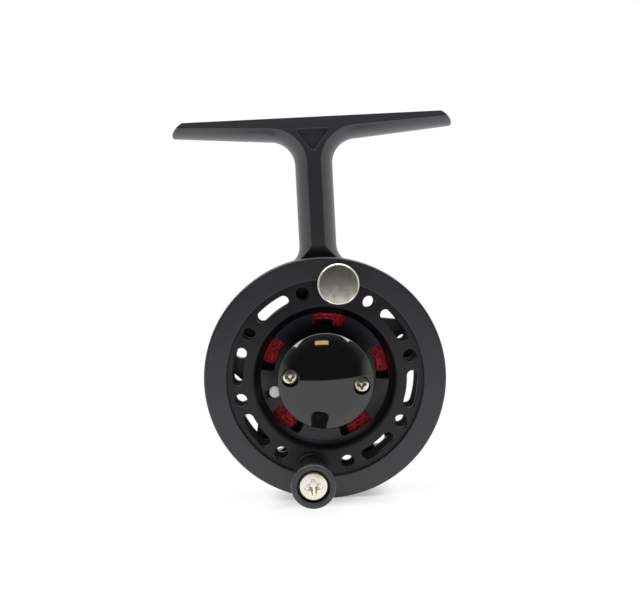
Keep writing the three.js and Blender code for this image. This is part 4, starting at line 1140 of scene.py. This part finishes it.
def pan_screw(name, head_radius, height, shank_radius, front, back, centre):
    """Pan-head screw with a tapered cross recess."""
    crown = height * 0.14
    flat, fall = 0.86, 0.14
    profile = []
    for step in range(9):
        reach = head_radius * flat * step / 8
        profile.append((reach, front + crown * (reach / head_radius) ** 2))
    shoulder = profile[-1][1]
    for step in range(1, 9):
        turn = math.pi / 2 * step / 8
        profile.append((head_radius * (flat + fall * math.sin(turn)),
                        shoulder + height * 0.38 * (1 - math.cos(turn))))
    profile += rounded([
        (head_radius, front + height, 0.08 * MM),
        (shank_radius, front + height, 0.1 * MM),
        (shank_radius, back, 0.2 * MM),
        (0.0, back, 0),
    ])
    screw = turned(name, profile, centre, 72)

    def cross(half, span):
        arm = [(span, -half), (span, half), (half * 1.5, half * 1.5)]
        corners = []
        for quarter in range(4):
            corners += [(x, z, half * 0.5) for x, z in arm]
            arm = [(-z, x) for x, z in arm]
        return [(centre[0] + x, centre[1] + z) for x, z in spun(rounded(corners, 3), RECESS_TURN)]

    half, span = head_radius * 0.13, head_radius * 0.60
    recess = lofted("cross", [
        (cross(half * 1.7, span * 1.18), front - 0.12 * MM),
        (cross(half * 1.05, span), front + 0.09 * MM),
        (cross(half * 0.8, span * 0.72), front + height * 0.35),
        (cross(half * 0.55, span * 0.34), front + height * 0.75),
    ])
    return carved(screw, [recess])


class FLYREEL_OT_cap(Step):
    """Build the domed hub cap and its two screws"""

    bl_idname = "fly_reel.cap"
    bl_label = "Hub Cap"

    def execute(self, context):
        spool = sizes("spool")
        front, base = depths("hub_cap")
        side = across("hub_cap") / 2
        edge = side - 0.4 * MM
        dome = (edge ** 2 + spool.cap_dome ** 2) / (2 * spool.cap_dome)
        rim_turn = math.asin(edge / dome) * 0.97
        last, last_depth = dome * math.sin(rim_turn), front + dome - dome * math.cos(rim_turn)
        corner = rounded([
            (side, base, 0),
            (side, last_depth + (side - last) * math.tan(rim_turn), spool.cap_edge),
            (last, last_depth, 0),
        ], 6)[1:-1]
        profile = rounded([(HUB_BORE, base, 0), (side, base, 0.2 * MM), (side, 0.0, 0)], 4)[:-1] + corner
        for step in range(37):
            turn = rim_turn * (1 - step / 36)
            profile.append((dome * math.sin(turn), front + dome - dome * math.cos(turn)))
        spindle_front = depths("spindle")[0]
        profile += [
            (0.0, spindle_front - 0.75 * MM),
            (4.2 * MM, spindle_front - 0.75 * MM),
            (4.2 * MM, -2.6 * MM),
            (HUB_BORE, -2.6 * MM),
        ]
        cap = turned("cap", profile, sides=256)
        tools = []
        for node in CAP_SCREWS:
            screw_front = depths(node)[0]
            head = across(node) / 2
            tools.append(bore(
                "sink", head + 0.3 * MM, screw_front - 4.0 * MM, screw_front + 1.6 * MM, middle(node), 72))
            tools.append(bore("bore", 1.3 * MM, screw_front, base + 1.0 * MM, middle(node), 32))
        carved(cap, tools)
        fitted(cleaned(cap), "spool_body", "cap_gloss", "Cap Black", "hub_cap", sharp=38)
        for node in reversed(CAP_SCREWS):
            screw_front, screw_back = depths(node)
            screw = pan_screw(
                node + "_bright", across(node) / 2, 1.3 * MM, 1.0 * MM, screw_front, screw_back, middle(node))
            fitted(cleaned(screw), "spool_body", "screw_steel", node + " Plate", node)
        return {"FINISHED"}


class FLYREEL_OT_posts(Step):
    """Build the counterweight and the pin that holds the line"""

    bl_idname = "fly_reel.posts"
    bl_label = "Counterweight and Line Pin"

    def execute(self, context):
        spool = sizes("spool")
        front, back = depths("counterweight")
        radius = across("counterweight") / 2
        dished = [(0.0, front + 0.05 * MM), (radius * 0.55, front + 0.035 * MM)]
        weight = turned("weight", dished + rounded([
            (radius - spool.weight_bevel, front, 0.12 * MM),
            (radius, front + spool.weight_bevel, 0.15 * MM),
            (radius, -0.3 * MM, 0.12 * MM),
            (1.2 * MM, -0.3 * MM, 0),
            (1.2 * MM, back, 0.2 * MM),
            (0.0, back, 0),
        ]), middle("counterweight"), 128)
        fitted(weight, "spool_body", "weight_steel", "Weight Steel", "counterweight", sharp=20)
        pin_front, pin_back = depths("line_pin")
        pin_radius = across("line_pin") / 2 + 0.15 * MM
        crown = [(0.0, pin_front)]
        for step in range(1, 9):
            turn = math.pi / 2 * step / 8
            crown.append((pin_radius * (0.6 + 0.4 * math.sin(turn)), pin_front + 0.35 * MM * (1 - math.cos(turn))))
        pin = turned("line_anchor", crown + [
            (pin_radius, pin_front + 0.6 * MM),
            (0.7 * MM, pin_front + 0.6 * MM),
            (0.7 * MM, pin_back),
            (0.0, pin_back),
        ], middle("line_pin"), 64)
        fitted(pin, "spool_body", "pin_steel", "Line Pin Steel", "line_pin", sharp=40)
        return {"FINISHED"}


class FLYREEL_OT_handle(Step):
    """Build the handle knob and its large cross-recess screw"""

    bl_idname = "fly_reel.handle"
    bl_label = "Handle"

    def execute(self, context):
        handle = sizes("handle")
        front, back = depths("handle_knob")
        face = across("handle_knob") / 2
        centre = around(sizes("spool").post_reach, HANDLE_ANGLE)
        length = back - front
        seat = front + handle.recess_depth
        grip = []
        for step in range(33):
            share = step / 32
            if share < 0.34:
                swell = (1 - math.sin(math.pi / 2 * share / 0.34)) * (handle.base_radius - handle.waist_radius)
            else:
                climb = (share - 0.34) / 0.66
                swell = (face - handle.waist_radius) * (0.5 - 0.5 * math.cos(math.pi * climb))
            grip.append((handle.waist_radius + swell, back - 0.35 * MM - (length - 1.75 * MM) * share))
        lip = rounded([
            (face, front + 1.4 * MM, 0),
            (face, front, 0.75 * MM),
            (handle.recess_radius, front, 0.25 * MM),
            (handle.recess_radius, seat, 0.15 * MM),
            (2.65 * MM, seat, 0.1 * MM),
            (2.65 * MM, back, 0),
            (handle.base_radius, back, 0.3 * MM),
        ], 5)
        knob = turned("knob", lip[1:] + grip[:-1] + [lip[0]], centre, 160)
        fitted(knob, "handle_body", "knob_black", "Knob Black", "handle_knob", sharp=40)
        screw_front, screw_back = depths("handle_screw")
        screw = pan_screw(
            "knob_screw", across("handle_screw") / 2, 1.4 * MM, 1.4 * MM, screw_front, screw_back, centre)
        fitted(cleaned(screw), "spool_body", "screw_steel", "Knob Screw Plate", "handle_screw")
        return {"FINISHED"}


class FLYREEL_OT_drag(Step):
    """Build the fluted drag knob and the spindle with its threads"""

    bl_idname = "fly_reel.drag"
    bl_label = "Drag Knob and Spindle"

    def execute(self, context):
        front, back = depths("drag_knob")
        rim = across("drag_knob") / 2
        knob = turned("drag_dial", rounded([
            (1.75 * MM, back - 0.5 * MM, 0.08 * MM),
            (3.3 * MM, back - 0.5 * MM, 0.15 * MM),
            (3.7 * MM, back, 0.2 * MM),
            (rim, back, 0.8 * MM),
            (rim, front, 0.6 * MM),
            (4.2 * MM, front, 0.2 * MM),
            (4.2 * MM, back - 1.3 * MM, 0.2 * MM),
            (1.75 * MM, back - 1.3 * MM, 0),
        ]), sides=192)
        flute_count = 16
        flutes = [
            bore("flute", 0.5 * MM, front - 1.0 * MM, back + 1.0 * MM, around(rim, flute * 360 / flute_count), 28)
            for flute in range(flute_count)
        ]
        carved(knob, [gathered("flutes", flutes)])
        fitted(cleaned(knob), "drag_knob_body", "frame_black", "Rear Black", "drag_knob")
        self.spindle()
        return {"FINISHED"}

    def spindle(self):
        front, back = depths("spindle")
        bearing, shoulder = depths("front_bearing_outer_race")[0], depths("rear_bearing_outer_race")[1] + 0.15 * MM
        hub_back = depths("frame")[1]
        pitch, root, crest = 0.35 * MM, 1.42 * MM, 1.6 * MM

        def thread(start, end):
            turns = int((end - start) / pitch)
            path = []
            for turn in range(turns):
                path += [(root, start + pitch * turn), (crest, start + pitch * (turn + 0.5))]
            return path

        profile = [(0.0, front), (1.3 * MM, front), *thread(front + 0.15 * MM, bearing - 0.1 * MM)]
        profile += [
            (1.6 * MM, bearing), (2.0 * MM, bearing), (2.0 * MM, shoulder),
            (2.9 * MM, shoulder), (2.9 * MM, shoulder + 1.0 * MM), (2.0 * MM, shoulder + 1.0 * MM),
            (2.0 * MM, hub_back), (1.6 * MM, hub_back), *thread(hub_back + 0.1 * MM, back - 0.3 * MM),
            (1.3 * MM, back), (0.0, back),
        ]
        rod = turned("spindle_rod", profile, sides=64)
        fitted(rod, "frame_body", "spindle_steel", "Ground Steel", "spindle", sharp=50)


class FLYREEL_OT_click_spring(Step):
    """Wind the click's spring"""

    bl_idname = "fly_reel.click_spring"
    bl_label = "Click Spring"

    def execute(self, context):
        low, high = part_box("click_spring")
        wire, turns, steps = 0.26 * MM, 3, 40
        centre = (low + high) / 2
        coil = (high.x - low.x - wire) / 2
        bottom, top = low.z + wire / 2 + 0.02 * MM, high.z - wire / 2 - 0.02 * MM
        closed = 0.25  # of a turn lies flat at each end
        path = []
        for step in range(turns * steps + 1):
            x, y = around(coil, step * 360 / steps)
            share = min(max((step / steps - closed) / (turns - 2 * closed), 0.0), 1.0)
            path.append(Vector((centre.x + x, centre.y + y, bottom + (top - bottom) * share)))
        spring = tube("coil_spring", path, lambda step, turn: wire / 2, Vector((0, 0, 1)), 10)
        spring.data.shade_smooth()
        spring.data.set_sharp_from_angle(angle=math.radians(50))
        spring.data.materials.append(finish_named("Ground Steel"))
        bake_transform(spring)
        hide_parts("click_spring")
        return {"FINISHED"}


INNER_FINISHES = {
    "Bore Aluminium": ["spool_hub", "bearing_spacer"],
    "Machined Brass": ["click_gear", "click_block", "spindle_washer"],
    "Bearing Steel": [
        "front_bearing_outer_race", "front_bearing_inner_race", "front_bearing_balls",
        "rear_bearing_outer_race", "rear_bearing_inner_race", "rear_bearing_balls",
    ],
    "Ground Steel": [
        "spindle_lock_nut", "spindle_nut", "handle_sleeve", "handle_nut", "counterweight_nut",
        "click_plunger", "click_screw_left", "click_screw_right", "drag_pressure_plate",
    ],
    "Drag Felt": ["drag_felt"],
}


class FLYREEL_OT_inner(Step):
    """Finish the inner pieces: bearings, click, drag, nuts and hub"""

    bl_idname = "fly_reel.inner"
    bl_label = "Inner Pieces"

    def execute(self, context):
        for material, nodes in INNER_FINISHES.items():
            for node in nodes:
                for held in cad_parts[node].material_slots:
                    held.material = finish_named(material)
        return {"FINISHED"}


# Studio

class FLYREEL_OT_studio(Step):
    """Set the white sheet, the pale room, the lamps and the camera"""

    bl_idname = "fly_reel.studio"
    bl_label = "Studio"

    def execute(self, context):
        self.sheet()
        self.room()
        self.lamps()
        self.camera()
        context.scene.view_settings.view_transform = "Standard"
        return {"FINISHED"}

    def seen(self, finish):
        """1 for what the camera, a reflection or a clear piece shows, otherwise 0."""
        path = finish.ray("Camera")
        glossy = finish.ray("Glossy")
        clear = finish.ray("Transmission")
        return finish.math("MAXIMUM", path, finish.math("MAXIMUM", glossy, clear))

    def sheet(self):
        studio = sizes("studio")
        low = cad_box[0][2]
        near, far, side = RING_FRONT - studio.sheet_front, 1.6, 1.5
        sheet = made("white_sheet", [
            (-side, near, low), (side, near, low), (side, far, low), (-side, far, low),
        ], [(0, 1, 2, 3)])
        material = bpy.data.materials.new("White Sheet")
        finish = Finish(material)
        place = finish.place()
        fibres = finish.noise(place, 900.0, 4.0, 0.6)
        depth = finish.along(place, "Y")
        beside = finish.math("ABSOLUTE", finish.along(place, "X") - AXIS_X)
        away = finish.math("ABSOLUTE", depth - (RING_FRONT + 2.0 * MM))
        clear = finish.math(
            "MAXIMUM", finish.span(beside, 8.0 * MM, 18.0 * MM), finish.span(away, 4.0 * MM, 12.0 * MM))
        whole = 0.38 + clear * 0.56 + finish.span(away, 30.0 * MM, 200.0 * MM) * 0.06
        paper = finish.node("ShaderNodeBsdfDiffuse", None, {
            "Color": finish.blend(fibres, (0.90, 0.90, 0.90, 1), (0.93, 0.93, 0.93, 1))})
        direct = finish.ray("Camera")
        lit = finish.math("MAXIMUM", direct, finish.span(depth, near, near + 0.30))
        faded = finish.blend(lit, (0.06, 0.06, 0.06, 1), (1, 1, 1, 1))
        white = finish.node("ShaderNodeEmission", None, {"Color": faded, "Strength": 1.0})
        mixed = finish.node("ShaderNodeMixShader", None, {0: self.seen(finish) * whole, 1: paper, 2: white})
        finish.node("ShaderNodeOutputMaterial", None, {"Surface": mixed})
        sheet.data.materials.append(material)

    def room(self):
        world = bpy.context.scene.world or bpy.data.worlds.new("Pale Room")
        bpy.context.scene.world = world
        finish = Finish(world)
        way = finish.node("ShaderNodeTexCoord", output="Generated")
        depth = finish.along(way, "Y")
        side = finish.along(way, "X")
        behind = finish.span(depth, -0.62, 0.05)
        beside = finish.span(finish.math("ABSOLUTE", side), 0.78, 0.96) * 0.95
        light = finish.math("MAXIMUM", behind, beside) * 0.92 + 0.05
        seen = finish.ray("Camera")
        strength = light * (1 - seen) + seen
        pale = finish.node("ShaderNodeBackground", None, {"Color": (1, 1, 1, 1), "Strength": strength})
        finish.node("ShaderNodeOutputWorld", None, {"Surface": pale})

    def lamp(self, name, place, power, span, colour=(1, 1, 1)):
        """Rectangular lamp that faces the middle of the spool."""
        light = bpy.data.lights.new(name, "AREA")
        light.shape = "RECTANGLE"
        light.size, light.size_y = span
        light.energy = power
        light.color = colour
        lamp = bpy.data.objects.new(name, light)
        bpy.context.scene.collection.objects.link(lamp)
        lamp.location = spot(*place)
        lamp.rotation_euler = (spot(0.0, 0.0, 0.0) - lamp.location).to_track_quat("-Z", "Y").to_euler()

    def lamps(self):
        studio = sizes("studio")
        self.lamp("overhead", (0.0, 0.10, 0.95), studio.overhead, (0.9, 0.9))
        self.lamp("warm", (-0.021, -0.362, 0.480), studio.warm, (0.190, 0.066), (1.0, 0.83, 0.30))
        for side, place in (("left", (-0.62, -0.30, 0.85)), ("right", (0.60, -0.30, 0.95))):
            self.lamp(side, place, studio.front, (0.34, 0.34))

    def camera(self):
        studio = sizes("studio")
        view = bpy.data.cameras.new("camera")
        view.lens = studio.lens
        view.sensor_width = 36.0
        view.clip_start = 0.01
        camera = bpy.data.objects.new("camera", view)
        bpy.context.scene.collection.objects.link(camera)
        place, target = spot(*CAMERA_PLACE), spot(*CAMERA_TARGET)
        ahead = (target - place).normalized()
        right = ahead.cross(Vector((math.sin(CAMERA_TILT), 0.0, math.cos(CAMERA_TILT)))).normalized()
        up = right.cross(ahead)
        turn = Matrix((right, up, -ahead)).transposed()
        camera.matrix_world = Matrix.Translation(place) @ turn.to_4x4()
        bpy.context.scene.camera = camera


STEPS = [
    FLYREEL_OT_finishes, FLYREEL_OT_frame, FLYREEL_OT_spool_front, FLYREEL_OT_spool_back, FLYREEL_OT_line,
    FLYREEL_OT_cap, FLYREEL_OT_posts, FLYREEL_OT_handle, FLYREEL_OT_drag,
    FLYREEL_OT_click_spring, FLYREEL_OT_inner, FLYREEL_OT_studio,
]
GROUPS = {
    "spool": SpoolSizes,
    "frame": FrameSizes,
    "line": LineSizes,
    "handle": HandleSizes,
    "colours": FinishColours,
    "studio": StudioSizes,
}


class FLYREEL_PT_build(bpy.types.Panel):
    """Build steps and settings of the fly reel"""

    bl_label = "Fly Reel"
    bl_idname = "FLYREEL_PT_build"
    bl_space_type = "VIEW_3D"
    bl_region_type = "UI"
    bl_category = "Fly Reel"

    def draw(self, context):
        for step in STEPS:
            self.layout.operator(step.bl_idname)
        for name in GROUPS:
            settings = getattr(context.scene, "fly_reel_" + name)
            box = self.layout.box()
            box.label(text=name.title())
            for key in settings.bl_rna.properties.keys():
                if key not in ("rna_type", "name"):
                    box.prop(settings, key)


def register():
    for name, group in GROUPS.items():
        bpy.utils.register_class(group)
        setattr(bpy.types.Scene, "fly_reel_" + name, PointerProperty(type=group))
    for step in STEPS:
        bpy.utils.register_class(step)
    bpy.utils.register_class(FLYREEL_PT_build)


def unregister():
    bpy.utils.unregister_class(FLYREEL_PT_build)
    for step in reversed(STEPS):
        bpy.utils.unregister_class(step)
    for name, group in reversed(GROUPS.items()):
        delattr(bpy.types.Scene, "fly_reel_" + name)
        bpy.utils.unregister_class(group)


def main():
    register()
    for step in STEPS:
        getattr(bpy.ops.fly_reel, step.bl_idname.split(".")[1])()


if __name__ == "__main__":
    main()
